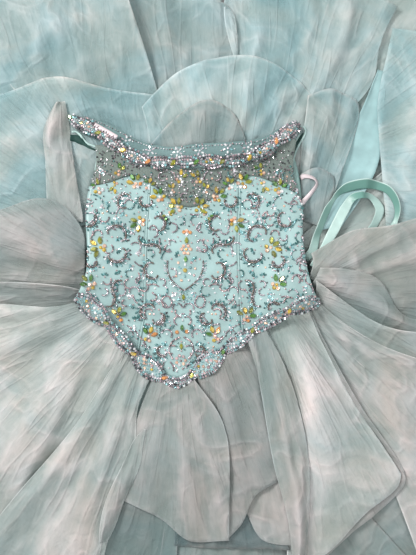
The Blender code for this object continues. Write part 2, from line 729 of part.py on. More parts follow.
WAIST_TRIM = (
    (-20.6, 4.4), (-17.4, 1.5), (-14.8, -1.0), (-12.2, -4.4), (-9.6, -7.1), (-5.8, -10.2),
    (-2.7, -11.4), (-0.2, -10.0), (2.7, -7.8), (6.4, -5.0), (10.4, -2.0), (13.9, 0.1),
    (17.6, 2.0), (20.3, 3.0), (22.4, 3.4),
)
TRIM_WIDTH = 4.0
TRIM_CELLS = 7

band("waist_trim", WAIST_TRIM, TRIM_WIDTH, 42, SEAM * 2, ridge=1.6, cells=TRIM_CELLS)
band("neckline_band_front", BAND_FRONT, BAND_WIDTH_FRONT, 32, SEAM * 2, ridge=1.4)

# Hanger loops of narrow satin ribbon
LOOP_RIGHT = ((19.6, 21.0), (21.4, 23.0), (22.4, 24.6), (21.8, 25.6), (20.2, 26.0), (19.4, 25.6))
LOOP_LEFT = ((-17.8, 35.2), (-15.8, 34.0), (-13.6, 32.6))

ribbon("hanger_loop_right", LOOP_RIGHT, 0.8, RIBBON_PINK, steps=12, gap=SEAM * 2, thickness=MM)
ribbon("hanger_loop_left", LOOP_LEFT, 0.8, RIBBON_PINK, steps=6, gap=SEAM * 2, thickness=MM)
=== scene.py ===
import math
import random

import bmesh
import bpy
import numpy as np
from mathutils import Matrix, Vector
from mathutils.bvhtree import BVHTree


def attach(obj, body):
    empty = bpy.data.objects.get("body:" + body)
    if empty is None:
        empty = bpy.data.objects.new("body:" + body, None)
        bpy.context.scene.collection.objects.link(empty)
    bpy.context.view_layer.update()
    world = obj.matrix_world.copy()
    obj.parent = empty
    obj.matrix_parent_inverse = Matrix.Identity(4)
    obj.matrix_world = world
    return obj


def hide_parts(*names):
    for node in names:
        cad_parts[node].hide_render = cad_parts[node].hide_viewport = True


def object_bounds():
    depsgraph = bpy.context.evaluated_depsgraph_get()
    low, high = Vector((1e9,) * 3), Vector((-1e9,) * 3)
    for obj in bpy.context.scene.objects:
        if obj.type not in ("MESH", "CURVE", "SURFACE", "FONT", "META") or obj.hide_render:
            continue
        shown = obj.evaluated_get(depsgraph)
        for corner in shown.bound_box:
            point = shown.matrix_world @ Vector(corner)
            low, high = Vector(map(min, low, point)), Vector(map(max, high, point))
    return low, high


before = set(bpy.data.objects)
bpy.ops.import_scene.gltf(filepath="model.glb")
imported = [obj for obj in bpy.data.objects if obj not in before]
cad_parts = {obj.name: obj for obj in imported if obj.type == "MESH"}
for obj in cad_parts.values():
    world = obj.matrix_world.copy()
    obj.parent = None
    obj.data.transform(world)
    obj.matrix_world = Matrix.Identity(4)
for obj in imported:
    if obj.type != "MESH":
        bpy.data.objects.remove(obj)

cad_box = [list(corner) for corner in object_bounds()]


# Camera, floor and light
# The gown lies on a pale floor and is looked at from straight above, as it was photographed.
# A broad soft light stands at the upper left, and a pale room fills the shadows.

CM = 0.01
MM = 0.001
WAIST_X = 0.01765
WAIST_Y = 0.19841
PIXEL = 0.0018
PHOTO_WIDTH = 416
PHOTO_HEIGHT = 555
WAIST_IN_PHOTO = (193.0, 320.0)
EYE_HEIGHT = 1.75
SHARP_HEIGHT = 0.10
FLOOR_HALF = 6.0
FLOOR_DROP = 0.0005
LIGHTS_AIM = Vector((0.0, 0.1, 0.0))
ROOM_GLOW = 0.52


def place(across, up, height=0.0):
    """A point given in centimetres from the middle of the waist, in the row's metres."""
    return Vector((WAIST_X + across * CM, WAIST_Y + up * CM, height))


def new_piece(name, mesh):
    piece = bpy.data.objects.new(name, mesh)
    bpy.context.scene.collection.objects.link(piece)
    return piece


def new_finish(name, values):
    """A new material, its node tree and its shader, with the shader's own values set."""
    finish = bpy.data.materials.new(name)
    finish.use_nodes = True
    shader = finish.node_tree.nodes["Principled BSDF"]
    for socket, value in values.items():
        shader.inputs[socket].default_value = value
    return finish, finish.node_tree, shader


def look_down():
    camera = bpy.data.cameras.new("camera")
    camera.sensor_fit = "VERTICAL"
    camera.angle_y = 2.0 * math.atan(PHOTO_HEIGHT * PIXEL / 2.0 / (EYE_HEIGHT - SHARP_HEIGHT))
    camera.clip_start = 0.05
    camera.clip_end = 30.0
    eye = new_piece("camera", camera)
    eye.location = (
        WAIST_X + (PHOTO_WIDTH / 2.0 - WAIST_IN_PHOTO[0]) * PIXEL,
        WAIST_Y + (WAIST_IN_PHOTO[1] - PHOTO_HEIGHT / 2.0) * PIXEL,
        EYE_HEIGHT,
    )
    bpy.context.scene.camera = eye


def soft_light(name, where, power, size, colour):
    lamp = bpy.data.lights.new(name, "AREA")
    lamp.energy = power
    lamp.size = size
    lamp.color = colour
    stand = new_piece(name, lamp)
    stand.location = where
    aim = LIGHTS_AIM - Vector(where)
    stand.rotation_euler = aim.to_track_quat("-Z", "Y").to_euler()


def lay_floor():
    shape = bmesh.new()
    bmesh.ops.create_grid(shape, x_segments=1, y_segments=1, size=FLOOR_HALF)
    mesh = bpy.data.meshes.new("floor")
    shape.to_mesh(mesh)
    shape.free()
    floor = new_piece("floor", mesh)
    values = {"Base Color": (0.66, 0.63, 0.63, 1.0), "Roughness": 0.8}
    mesh.materials.append(new_finish("pale_floor", values)[0])
    floor.location = (0.0, 0.0, -FLOOR_DROP)


look_down()
lay_floor()
# Rows: name, place in metres, power in watts, size in metres, colour.
for light in (
    ("key", (-1.7, 1.7, 2.2), 88.0, 0.9, (1.0, 0.985, 0.97)),
    ("fill", (2.2, -1.0, 2.6), 12.0, 2.4, (0.93, 0.97, 1.0)),
    ("sparkle_left", (-0.7, 0.1, 2.2), 5.0, 0.12, (1.0, 1.0, 1.0)),
    ("sparkle_right", (0.8, 0.7, 2.2), 5.0, 0.12, (1.0, 0.97, 0.94)),
    ("sparkle_front", (0.1, -0.8, 2.2), 4.0, 0.12, (0.94, 0.97, 1.0)),
):
    soft_light(*light)
room = bpy.data.worlds.new("room")
bpy.context.scene.world = room
room.use_nodes = True
glow = room.node_tree.nodes["Background"]
glow.inputs["Color"].default_value = (0.94, 0.965, 0.975, 1.0)
glow.inputs["Strength"].default_value = ROOM_GLOW
bpy.context.scene.view_settings.view_transform = "Standard"
bpy.context.scene.view_settings.look = "None"


# Cloth, and how every sheet of it is laid
# The gown's sheets are thin shells on the form of their solids. Each is rounded, given its
# own folds and crumples, and laid on the sheets below it, so that none pokes through another.

WELD = 0.00001
FACING_UP = 0.02
AIR = 1.1 * MM
SHELL = 0.6 * MM
GRID_STEP = 4.0 * MM
PILE_MARGIN = 0.04
DOWN = Vector((0.0, 0.0, -1.0))
HIGH = 1.0


def tree_of(*meshes):
    points = []
    faces = []
    for mesh in meshes:
        first = len(points)
        points.extend(point.co.copy() for point in mesh.vertices)
        faces.extend([first + k for k in face.vertices] for face in mesh.polygons)
    return BVHTree.FromPolygons(points, faces)


def top_of(tree, x, y):
    """The height of what lies at a plan point, or None beside it."""
    hit = tree.ray_cast(Vector((x, y, HIGH)), DOWN)[0]
    return None if hit is None else hit.z


class Pile:
    """How high the sheets laid so far reach, on an even grid of plan points."""

    def __init__(self):
        self.low = np.array(cad_box[0][:2]) - PILE_MARGIN
        size = np.array(cad_box[1][:2]) + PILE_MARGIN - self.low
        self.count = np.ceil(size / GRID_STEP).astype(int) + 1
        self.top = np.zeros(self.count)
        self.ceiling = np.full(self.count, HIGH)

    def cells_under(self, points):
        first = np.floor((points[:, :2].min(axis=0) - self.low) / GRID_STEP).astype(int)
        last = np.ceil((points[:, :2].max(axis=0) - self.low) / GRID_STEP).astype(int)
        first = np.maximum(first, 0)
        last = np.minimum(last, self.count - 1)
        for i in range(first[0], last[0] + 1):
            for j in range(first[1], last[1] + 1):
                yield i, j, self.low[0] + i * GRID_STEP, self.low[1] + j * GRID_STEP

    def add(self, mesh):
        tree = tree_of(mesh)
        for i, j, x, y in self.cells_under(points_of(mesh)):
            height = top_of(tree, x, y)
            if height is not None and height > self.top[i, j]:
                self.top[i, j] = height

    def press_under(self, meshes, gap):
        """Keeps what is laid from now on below a firm piece that will lie over it."""
        tree = tree_of(*meshes)
        points = np.vstack([points_of(mesh) for mesh in meshes])
        for i, j, x, y in self.cells_under(points):
            height = top_of(tree, x, y)
            if height is not None:
                self.ceiling[i, j] = height - gap

    def read(self, grid, x, y):
        at_x = np.clip((x - self.low[0]) / GRID_STEP, 0, self.count[0] - 1.001)
        at_y = np.clip((y - self.low[1]) / GRID_STEP, 0, self.count[1] - 1.001)
        i, j = at_x.astype(int), at_y.astype(int)
        u, v = at_x - i, at_y - j
        near = grid[i, j] * (1 - v) + grid[i, j + 1] * v
        far = grid[i + 1, j] * (1 - v) + grid[i + 1, j + 1] * v
        return near * (1 - u) + far * u

    def height(self, x, y):
        return self.read(self.top, np.asarray(x, dtype=float), np.asarray(y, dtype=float))


def points_of(mesh):
    points = np.zeros(len(mesh.vertices) * 3)
    mesh.vertices.foreach_get("co", points)
    return points.reshape(-1, 3)


def in_cm(x, y):
    """Plan points of the row, in centimetres from the middle of the waist."""
    return (x - WAIST_X) / CM, (y - WAIST_Y) / CM


def edges_of(mesh):
    ends = np.zeros(len(mesh.edges) * 2, dtype=np.int64)
    mesh.edges.foreach_get("vertices", ends)
    return ends.reshape(-1, 2)


def applied(piece):
    """The piece with its modifiers made real."""
    shown = piece.evaluated_get(bpy.context.evaluated_depsgraph_get())
    mesh = bpy.data.meshes.new_from_object(shown)
    piece.modifiers.clear()
    piece.data = mesh
    return piece


def rounded_sheet(name, node, cell):
    """The upper face of a cloth solid as one smooth sheet, in faces of about the given size."""
    shape = bmesh.new()
    shape.from_mesh(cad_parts[node].data)
    bmesh.ops.remove_doubles(shape, verts=shape.verts, dist=WELD)
    shape.normal_update()
    away = [face for face in shape.faces if face.normal.z < FACING_UP]
    bmesh.ops.delete(shape, geom=away, context="FACES")
    bmesh.ops.join_triangles(
        shape, faces=shape.faces, angle_face_threshold=math.pi, angle_shape_threshold=math.pi)
    mean_face = sum(face.calc_area() for face in shape.faces) / len(shape.faces)
    mesh = bpy.data.meshes.new(name)
    shape.to_mesh(mesh)
    shape.free()
    piece = new_piece(name, mesh)
    rounding = piece.modifiers.new("rounding", "SUBSURF")
    rounding.levels = max(1, round(math.log(math.sqrt(mean_face) / cell, 2.0)))
    rounding.render_levels = rounding.levels
    rounding.boundary_smooth = "PRESERVE_CORNERS"
    return applied(piece)


def evened(values, ends, rounds):
    """Values at a mesh's points, each drawn towards its neighbours' mean."""
    count = np.maximum(np.bincount(ends.reshape(-1), minlength=len(values)), 1)
    for _ in range(rounds):
        total = np.bincount(ends[:, 0], values[ends[:, 1]], len(values))
        total += np.bincount(ends[:, 1], values[ends[:, 0]], len(values))
        values = 0.5 * values + 0.5 * total / count
    return values


HASH_X = 374761393
HASH_Y = 668265263
HASH_MIX = 1274126177
WORD = 0xFFFFFFFF


def noise_at(x, y, seed):
    """Smooth noise from about -1 to 1 at many plan points at once."""
    x = x + 37.7 * seed
    y = y - 19.3 * seed
    cell_x, cell_y = np.floor(x), np.floor(y)
    part_x, part_y = x - cell_x, y - cell_y
    ease_x = part_x ** 3 * (part_x * (part_x * 6.0 - 15.0) + 10.0)
    ease_y = part_y ** 3 * (part_y * (part_y * 6.0 - 15.0) + 10.0)
    total = np.zeros(np.broadcast(x, y).shape)
    for i in (0, 1):
        for j in (0, 1):
            key = (cell_x + i).astype(np.int64) * HASH_X + (cell_y + j).astype(np.int64) * HASH_Y
            key = ((key & WORD) ^ ((key & WORD) >> 13)) * HASH_MIX & WORD
            turn = ((key ^ (key >> 16)) & 0xFFFF) * (2.0 * math.pi / 65536.0)
            slope = np.cos(turn) * (part_x - i) + np.sin(turn) * (part_y - j)
            share = (ease_x if i else 1.0 - ease_x) * (ease_y if j else 1.0 - ease_y)
            total += share * slope
    return 1.6 * total


def polar(across, up, gather):
    """How far points are from a gather, and their bearing from the sheet's middle line."""
    away_x, away_y = across - gather[0], up - gather[1]
    middle = math.atan2(np.mean(away_y), np.mean(away_x))
    turned_x = away_x * math.cos(middle) + away_y * math.sin(middle)
    turned_y = away_y * math.cos(middle) - away_x * math.sin(middle)
    return np.hypot(away_x, away_y) + 1.0, np.arctan2(turned_y, turned_x)


FOLD_SPACING = 3.4
FOLD_SPREAD = 0.75
FOLD_WANDER = 0.14
FOLD_STEEPNESS = 2.5
TUCK_REACH = 6.0
TUCK_INSIDE = 0.3
TUCK_DEPTH = 3.0
GATHER_HEIGHT = 4.0
GATHER_REACH = 9.0
GATHERS = 48.0
FINE_GATHERS = 110.0


def ridge(noise, top, softness):
    """High along the lines where a noise crosses nought, and lower between them."""
    return top - np.sqrt(noise * noise + softness)


# Folds per radian round the gather, and the crumples' size in cm and share of the height.
FOLD_RATES = (2.2, 4.5, 9.0, 18.0, 36.0)
CRUMPLES = ((13.0, 1.8), (5.5, 0.85), (2.6, 0.42))


def fold_heights(across, up, reach, bearing, fullness, crumple, seed):
    """Height in mm of the folds that spread from a gather, and of the crumples between them."""
    height = np.zeros(len(across))
    for step, per_radian in enumerate(FOLD_RATES):
        width = reach / per_radian
        share = np.exp(-(np.log(width / FOLD_SPACING) / FOLD_SPREAD) ** 2)
        wander = FOLD_WANDER * noise_at(reach * 0.06, bearing * 1.2, seed + 3.0 * step)
        n = noise_at((bearing + wander) * per_radian, reach * 0.02, seed + 7.0 + step)
        height += share * width * FOLD_STEEPNESS * ridge(n, 0.34, 0.004)
    height *= fullness
    for size, share in CRUMPLES:
        n = noise_at(across / size, up / size, seed * 1.7 + size)
        height += crumple * share * ridge(n, 0.7 * n + 0.3, 0.003)
    return height


def beside(path, across, up):
    """How far points are from a path, the share of its length beside them, and the way to it."""
    nearest = np.full(len(across), 1e9)
    along, way_x, way_y = (np.zeros(len(across)) for _ in range(3))
    lengths = [math.dist(path[k], path[k + 1]) for k in range(len(path) - 1)]
    run = 0.0
    for k, length in enumerate(lengths):
        start, end = path[k], path[k + 1]
        step_x, step_y = (end[0] - start[0]) / length, (end[1] - start[1]) / length
        on = np.clip((across - start[0]) * step_x + (up - start[1]) * step_y, 0.0, length)
        off_x, off_y = start[0] + on * step_x - across, start[1] + on * step_y - up
        gap = np.hypot(off_x, off_y)
        nearer = gap < nearest
        nearest = np.where(nearer, gap, nearest)
        along = np.where(nearer, (run + on) / sum(lengths), along)
        way_x, way_y = np.where(nearer, off_x, way_x), np.where(nearer, off_y, way_y)
        run += length
    return nearest, along, way_x, way_y


def crease_height(across, up, path, height, width):
    """Height in mm of one soft ridge, or trough where it is negative, along a path in cm."""
    nearest, along = beside(path, across, up)[:2]
    fade = np.clip(np.minimum(along, 1.0 - along) * 6.0, 0.0, 1.0) ** 0.7
    return height * fade * np.exp(-(nearest / width) ** 1.6)


def eased(across, up, shifts, tuck):
    """Plan points drawn over a neighbour where sheets overlap, and tucked under a trim.

    Each shift has its middle across and up, its radius, and either how far it draws across
    and up, or the share by which it draws the cloth together.
    """
    for x, y, radius, *draw in shifts:
        share = np.exp(-((across - x) ** 2 + (up - y) ** 2) / radius ** 2)
        step_x, step_y = draw if len(draw) == 2 else (draw[0] * (x - across), draw[0] * (y - up))
        across, up = across + share * step_x, up + share * step_y
    if len(tuck):
        gap, _, way_x, way_y = beside(tuck, across, up)
        wanted = TUCK_DEPTH * np.clip((TUCK_REACH - gap) / TUCK_REACH, 0.0, 1.0)
        step = np.minimum(wanted, np.maximum(gap - TUCK_INSIDE, 0.0)) / np.maximum(gap, 0.01)
        across, up = across + step * way_x, up + step * way_y
    return across, up


def gathered_at(path, across, up):
    """Height in mm of the small gathers that run out from a trim, and 0 to 1 away from it."""
    gap, along = beside(path, across, up)[:2]
    fold = noise_at(along * GATHERS, gap * 0.10, 3.0)
    fold = fold + 0.5 * noise_at(along * FINE_GATHERS, gap * 0.2, 8.0)
    height = GATHER_HEIGHT * ridge(fold, 0.32, 0.003) * np.exp(-gap / GATHER_REACH)
    return height, np.clip((gap - 2.0) / 4.0, 0.0, 1.0)


def open_edge(mesh):
    """1 at the points on a sheet's free edge, 0 elsewhere."""
    uses = np.zeros(len(mesh.edges), dtype=int)
    for face in mesh.polygons:
        for k in face.loop_indices:
            uses[mesh.loops[k].edge_index] += 1
    on_edge = np.zeros(len(mesh.vertices))
    on_edge[edges_of(mesh)[uses == 1].reshape(-1)] = 1.0
    return on_edge


def mark(mesh, reach, bearing, seed, **patterns):
    """Writes what the cloth's finish reads at a sheet's points, and the way its folds run."""
    for name, values in patterns.items():
        layer = mesh.attributes.new(name, "FLOAT", "POINT")
        values = np.broadcast_to(values, len(mesh.vertices))
        layer.data.foreach_set("value", values.astype(np.float32))
    layer = mesh.attributes.new("flow", "FLOAT_VECTOR", "POINT")
    rows = np.column_stack([bearing * 10.0, reach * 0.04, np.full(len(reach), seed)])
    layer.data.foreach_set("vector", rows.astype(np.float32).reshape(-1))


EDGE_LIFT = 3.8
SINK = 3.0
EDGE_ROUNDS = 6
RELIEF_ROUNDS = 50
RELIEF_DEPTH = 6.0 * MM


def lay_cloth(name, node, cell, gather, fullness, crumple, seed, creases=(), lift=EDGE_LIFT,
              evening=3, pressed=False, sink=SINK, shifts=(), tuck=(), tone=1.0, hem_from=0.0,
              edge_shown=1.0):
    """A sheet of the gown: rounded, folded and laid on the pile, with its free edge marked.

    Its edge is free and lifts only where it is further than hem_from, in cm, from the gather.
    """
    piece = rounded_sheet(name, node, cell)
    mesh = piece.data
    points = points_of(mesh)
    ends = edges_of(mesh)
    across, up = eased(*in_cm(points[:, 0], points[:, 1]), shifts, tuck)
    points[:, 0], points[:, 1] = WAIST_X + across * CM, WAIST_Y + up * CM
    reach, bearing = polar(across, up, gather)
    folds = fold_heights(across, up, reach, bearing, fullness, crumple, seed) - sink
    for crease in creases:
        folds += crease_height(across, up, *crease)
    rim = open_edge(mesh) * (reach > hem_from)
    near_edge = np.clip(3.0 * evened(rim, ends, EDGE_ROUNDS), 0.0, 1.0)
    flare = np.clip(0.5 + noise_at(across / 6.0, up / 6.0, seed + 40.0), 0.0, 1.4)
    if len(tuck):
        gathers, free = gathered_at(tuck, across, up)
        folds += gathers
        rim, near_edge = rim * free, near_edge * free
    folds += lift * near_edge * flare
    wanted = points[:, 2] + folds * MM
    if pressed:
        wanted = np.minimum(wanted, pile.read(pile.ceiling, points[:, 0], points[:, 1]))
    lowest = pile.height(points[:, 0], points[:, 1]) + AIR
    height = np.maximum(wanted, lowest)
    for _ in range(evening):
        height = np.maximum(lowest, evened(height, ends, 1))
    points[:, 2] = np.maximum(height, SHELL * 2.0)
    mesh.vertices.foreach_set("co", points.reshape(-1))
    # relief, the sheet's height over its smoothed form, is painted by the finish as shade in the
    # hollows and highlight on the ridges; tone is the sheet's painted shade and light.
    relief = (points[:, 2] - evened(points[:, 2], ends, RELIEF_ROUNDS)) / RELIEF_DEPTH
    mark(
        mesh, reach, bearing, seed, relief=np.clip(0.5 + 0.5 * relief, 0.0, 1.0),
        rim=rim * edge_shown, tone=tone(across, up) if callable(tone) else tone)
    mesh.shade_smooth()
    pile.add(mesh)
    return piece


def thicken(piece, thickness=SHELL):
    """Gives a sheet its thickness downwards, so that it is one closed shell."""
    wall = piece.modifiers.new("thickness", "SOLIDIFY")
    wall.thickness = thickness
    wall.offset = -1.0
    wall.use_even_offset = False
    return applied(piece)


def dress(piece, finish, slot, *nodes):
    """A finished piece's material, the nodes that it stands for and its body; its slot is not used.
    """
    piece.data.materials.append(finish)
    for node in nodes:
        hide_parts(node)
    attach(piece, "root")


BODICE_NODES = ("bodice_back", "bodice_front_left", "bodice_front_centre", "bodice_front_right")
BODICE_ROOM = 16.0 * MM
pile = Pile()
pile.press_under([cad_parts[node].data for node in BODICE_NODES], BODICE_ROOM)


# Organza, the gown's main cloth, woven plainly from fine stiff yarn. It is crisp and sheer,
# with fine streaks along the folds and a narrow rolled edge. Its colour holds painted shade
# where the sheet sinks and a milky painted highlight on its ridges.


def link(tree, source, target, name):
    """Joins a pattern, given as (node, output), to a node's socket."""
    tree.links.new(source[0].outputs[source[1]], target.inputs[name])


def new_node(tree, kind, **values):
    node = tree.nodes.new("ShaderNode" + kind)
    for name, value in values.items():
        setattr(node, name, value)
    return node


def fill_sockets(tree, node, values):
    """Sets a node's sockets to plain values, or links them to patterns."""
    for name, value in values.items():
        if isinstance(value, tuple) and isinstance(value[0], bpy.types.Node):
            link(tree, value, node, name)
        elif value is not None:
            node.inputs[name].default_value = value


def spots_on(tree):
    """The places on the gown that a pattern is drawn by."""
    return new_node(tree, "TexCoord"), "Object"


def marked(tree, name, output="Fac"):
    """What is written at a piece's points under a name."""
    return new_node(tree, "Attribute", attribute_name=name), output


def noise_of(tree, where, scale, detail, distortion=0.0):
    cloud = new_node(tree, "TexNoise")
    fill_sockets(tree, cloud, {
        "Scale": scale, "Detail": detail, "Distortion": distortion, "Vector": where})
    return cloud, "Fac"


def reckon(tree, operation, first, second=None, third=None):
    """A sum of patterns or numbers."""
    node = new_node(tree, "Math", operation=operation)
    fill_sockets(tree, node, dict(enumerate((first, second, third))))
    return node, "Value"


def blend_colours(tree, factor, first, second, **values):
    """Two colours or patterns mixed by a factor."""
    mix = new_node(tree, "Mix", data_type="RGBA", **values)
    pair = [value if isinstance(value[0], bpy.types.Node) else (*value, 1.0)
            for value in (first, second)]
    fill_sockets(tree, mix, {"Factor": factor, "A": pair[0], "B": pair[1]})
    return mix, "Result"


def multiplied(tree, first, second):
    return blend_colours(tree, 1.0, first, second, blend_type="MULTIPLY")


def rescaled(tree, source, low, high, to_low=0.0, to_high=1.0):
    node = new_node(tree, "MapRange")
    fill_sockets(tree, node, {
        "Value": source, "From Min": low, "From Max": high, "To Min": to_low, "To Max": to_high})
    return node, "Result"


def bumped(tree, height, strength, distance, below=None):
    node = new_node(tree, "Bump")
    fill_sockets(tree, node, {
        "Strength": strength, "Distance": distance, "Height": height, "Normal": below})
    return node, "Normal"


# A wave texture's bands per metre at a scale of 1.
WAVE_BANDS = 20.0 / (2.0 * math.pi)


def weave_of(tree, where, threads_per_metre):
    """A plain weave: one band of threads across and one along, multiplied."""
    bands = []
    for direction in ("X", "Y"):
        band = new_node(tree, "TexWave", bands_direction=direction)
        fill_sockets(tree, band, {
            "Scale": threads_per_metre / WAVE_BANDS, "Distortion": 0.8, "Detail Scale": 1.5,
            "Vector": where})
        bands.append((band, "Fac"))
    return reckon(tree, "MULTIPLY", *bands)


def ridges_of(tree, where, scale, detail, distortion, width):
    """1 on the thin wandering lines where a noise crosses its middle, 0 beside them."""
    cloud = noise_of(tree, where, scale, detail, distortion)
    off_line = reckon(tree, "ABSOLUTE", reckon(tree, "SUBTRACT", cloud, 0.5))
    return rescaled(tree, off_line, 0.0, width, 1.0, 0.0)


# Organza's rolled edge and creased lines, and its cast where layers lie apart or together.
EDGE_PALE = (0.66, 0.69, 0.68)
CAST_COOL = (0.87, 0.985, 1.02)
CAST_WARM = (1.11, 1.025, 0.99)
ORGANZA_THREADS = 1500.0
ORGANZA_GLOSS = {
    "Roughness": 0.5, "Specular IOR Level": 0.35, "Sheen Weight": 0.35, "Sheen Roughness": 0.35,
    "Sheen Tint": (1.0, 0.97, 0.97, 1.0),
}


def organza(name, deep, middle, pale, cover, spread):
    """Organza with painted shade in its deep folds and a milky painted highlight on its ridges; a
    cover under 1 lets what is below through.

    spread is how far its cool and warm patches run into one another.
    """
    finish, tree, shader = new_finish(name, ORGANZA_GLOSS)
    where = spots_on(tree)
    relief, rim, tone = (marked(tree, pattern) for pattern in ("relief", "rim", "tone"))
    flow = marked(tree, "flow", "Vector")
    clouds = noise_of(tree, where, 7.5, 2.0, 0.3)
    patches = noise_of(tree, where, 9.0, 3.0, 0.9)
    wrinkles = noise_of(tree, where, 38.0, 5.0, 1.4)
    streaks = noise_of(tree, flow, 3.2, 6.0, 0.2)
    threads = noise_of(tree, flow, 11.0, 4.0, 0.6)
    line = ridges_of(tree, flow, 1.3, 1.0, 0.0, 0.006)
    pleats = ridges_of(tree, flow, 1.7, 0.6, 0.2, 0.06)
    crumples = ridges_of(tree, where, 9.5, 1.6, 0.9, 0.07)

    # How milky the cloth looks: the sum of random clouds, streaks and creases, and of the folds'
    # relief, which paints shade in the hollows and highlight on the ridges.
    depth = reckon(tree, "MULTIPLY_ADD", clouds, 0.95, reckon(tree, "MULTIPLY", relief, 0.62))
    for pattern, share in ((streaks, 0.24), (wrinkles, 0.24), (threads, 0.2)):
        depth = reckon(tree, "MULTIPLY_ADD", pattern, share, depth)
    creased = reckon(tree, "MULTIPLY", crumples, rescaled(tree, clouds, 0.35, 0.65, 0.05, 0.22))
    depth = reckon(tree, "MULTIPLY_ADD", pleats, 0.09, reckon(tree, "ADD", depth, creased))
    depth = reckon(tree, "SUBTRACT", depth, 0.21)

    # Colour: by its depth, with its painted shade and highlight, paler on a crease's line and on the
    # rolled edge, then its cast.
    colour = blend_colours(tree, rescaled(tree, depth, 0.45, 1.0), deep, middle)
    colour = blend_colours(tree, rescaled(tree, depth, 0.92, 1.5), colour, pale)
    colour = blend_colours(tree, reckon(tree, "MULTIPLY", line, 0.15), colour, EDGE_PALE)
    narrow = reckon(tree, "POWER", rim, 1.8)
    worn = reckon(tree, "MULTIPLY", narrow, rescaled(tree, streaks, 0.3, 0.6, 0.2, 0.8))
    colour = blend_colours(tree, worn, colour, EDGE_PALE)
    apart = rescaled(tree, patches, 0.5 - spread, 0.5 + spread)
    cast = blend_colours(tree, apart, CAST_COOL, CAST_WARM)
    # The sheet's tone multiplies in its painted shade and light.
    link(tree, multiplied(tree, multiplied(tree, colour, cast), tone), shader, "Base Color")

    # Bumps, from the broad streaks down to the weave.
    weave = weave_of(tree, where, ORGANZA_THREADS)
    bump = None
    for height, strength, distance in (
        (streaks, 0.35, 0.005),
        (reckon(tree, "ADD", crumples, pleats), 0.4, 0.003),
        (wrinkles, 0.45, 0.004),
        (threads, 0.4, 0.0012),
        (weave, 0.2, 0.0002),
    ):
        bump = bumped(tree, height, strength, distance, bump)
    link(tree, bump, shader, "Normal")
    if cover < 1.0:
        woven = reckon(tree, "MULTIPLY_ADD", weave, 0.16, cover)
        denser = reckon(tree, "MULTIPLY_ADD", rescaled(tree, depth, 0.7, 1.4), 0.25, woven)
        solid = reckon(tree, "MULTIPLY_ADD", rim, 0.3, denser)
        solid[0].use_clamp = True
        link(tree, solid, shader, "Alpha")
    return finish


# The gores' organza is the aqua sheets' mint organza painted darker and greyer: painted shade.
ORGANZA_MINT_SHADED = organza(
    "organza_mint_painted_shade", (0.24, 0.34, 0.327), (0.345, 0.425, 0.41), (0.49, 0.535, 0.527), 1.0, 0.21)
ORGANZA_AQUA = organza(
    "organza_aqua", (0.24, 0.38, 0.385), (0.36, 0.475, 0.48), (0.52, 0.59, 0.595), 0.42, 0.14)
ORGANZA_MILK = organza(
    "organza_milk", (0.285, 0.348, 0.322), (0.446, 0.466, 0.447), (0.635, 0.58, 0.572), 0.48, 0.24)


# Hidden layers: petticoats, lining and the skirt's inner layers, one mound under all the rest.
# They are tulle and organza, gathered at the waist; only their stacked hems show at the rim.

MOUND_SINK = 9.0 * MM
MOUND_ROOM = 6.0 * MM
RUFFLE_MOST = 4.0 * MM
RIM_HEIGHT = 15.0 * MM
RIM_SLOPE = 25.0 * MM


def hidden_layers():
    shape = bmesh.new()
    shape.from_mesh(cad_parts["skirt_hidden_layers"].data)
    bmesh.ops.remove_doubles(shape, verts=shape.verts, dist=WELD)
    bmesh.ops.join_triangles(
        shape, faces=shape.faces, angle_face_threshold=0.6, angle_shape_threshold=math.pi)
    bmesh.ops.subdivide_edges(shape, edges=shape.edges, cuts=2, use_grid_fill=True)
    mesh = bpy.data.meshes.new("inner_layers")
    shape.to_mesh(mesh)
    shape.free()
    points = points_of(mesh)
    across, up = in_cm(points[:, 0], points[:, 1])
    reach, bearing = polar(across, up, (0.0, 0.0))
    inner = np.clip((points[:, 2] - RIM_HEIGHT) / RIM_SLOPE, 0.0, 1.0)
    ruffle = fold_heights(across, up, reach, bearing, 0.7, 1.0, 5.0) * MM
    points[:, 2] -= inner * (MOUND_SINK - np.minimum(ruffle, RUFFLE_MOST))
    ceiling = pile.read(pile.ceiling, points[:, 0], points[:, 1]) - MOUND_ROOM
    points[:, 2] = np.where(inner > 0.0, np.minimum(points[:, 2], ceiling), points[:, 2])
    mesh.vertices.foreach_set("co", points.reshape(-1))
    # Their low relief and tone paint the mound in shade, under all the rest.
    mark(mesh, reach, bearing, 5.0, relief=0.42, rim=0.0, tone=0.8)
    mesh.shade_smooth()
    pile.add(mesh)
    dress(new_piece("inner_layers", mesh), ORGANZA_MINT_SHADED, "organza_mint", "skirt_hidden_layers")


hidden_layers()


# Gores: the floor-length outer skirt, eight widths of mint organza seamed side by side,
# gathered to the waist and spread all round, with a rolled hem that ripples on the floor.

GORE_CELL = 8.0 * MM
HEM_FROM = 40.0

# Rows: node, noise seed, and the cut's mean width and length in metres.
GORES = (
    ("gore_back_right", 1.0, 0.60, 0.49),
    ("gore_right", 2.0, 0.70, 0.60),
    ("gore_front_right", 3.0, 0.72, 0.68),
    ("gore_front", 4.0, 0.76, 0.75),
    ("gore_front_left", 5.0, 0.76, 0.76),
    ("gore_left", 6.0, 0.70, 0.67),
    ("gore_back_left", 7.0, 0.70, 0.64),
    ("gore_back", 8.0, 0.48, 0.47),
)
# Middle and spread, in cm, of the painted shade between the two long flounces.
SHADE_GAP_MIDDLE = (-10.4, -37.0)
SHADE_GAP_SPREAD = 50.0


def pairs(numbers):
    """Points from plain numbers: across, up, across, up and so on."""
    return tuple(zip(numbers[::2], numbers[1::2]))


def drawn_folds(*rows):
    """Main folds, drawn from rows of height in mm, width in cm and a path in cm."""
    return [(pairs(path), height, width) for height, width, *path in rows]


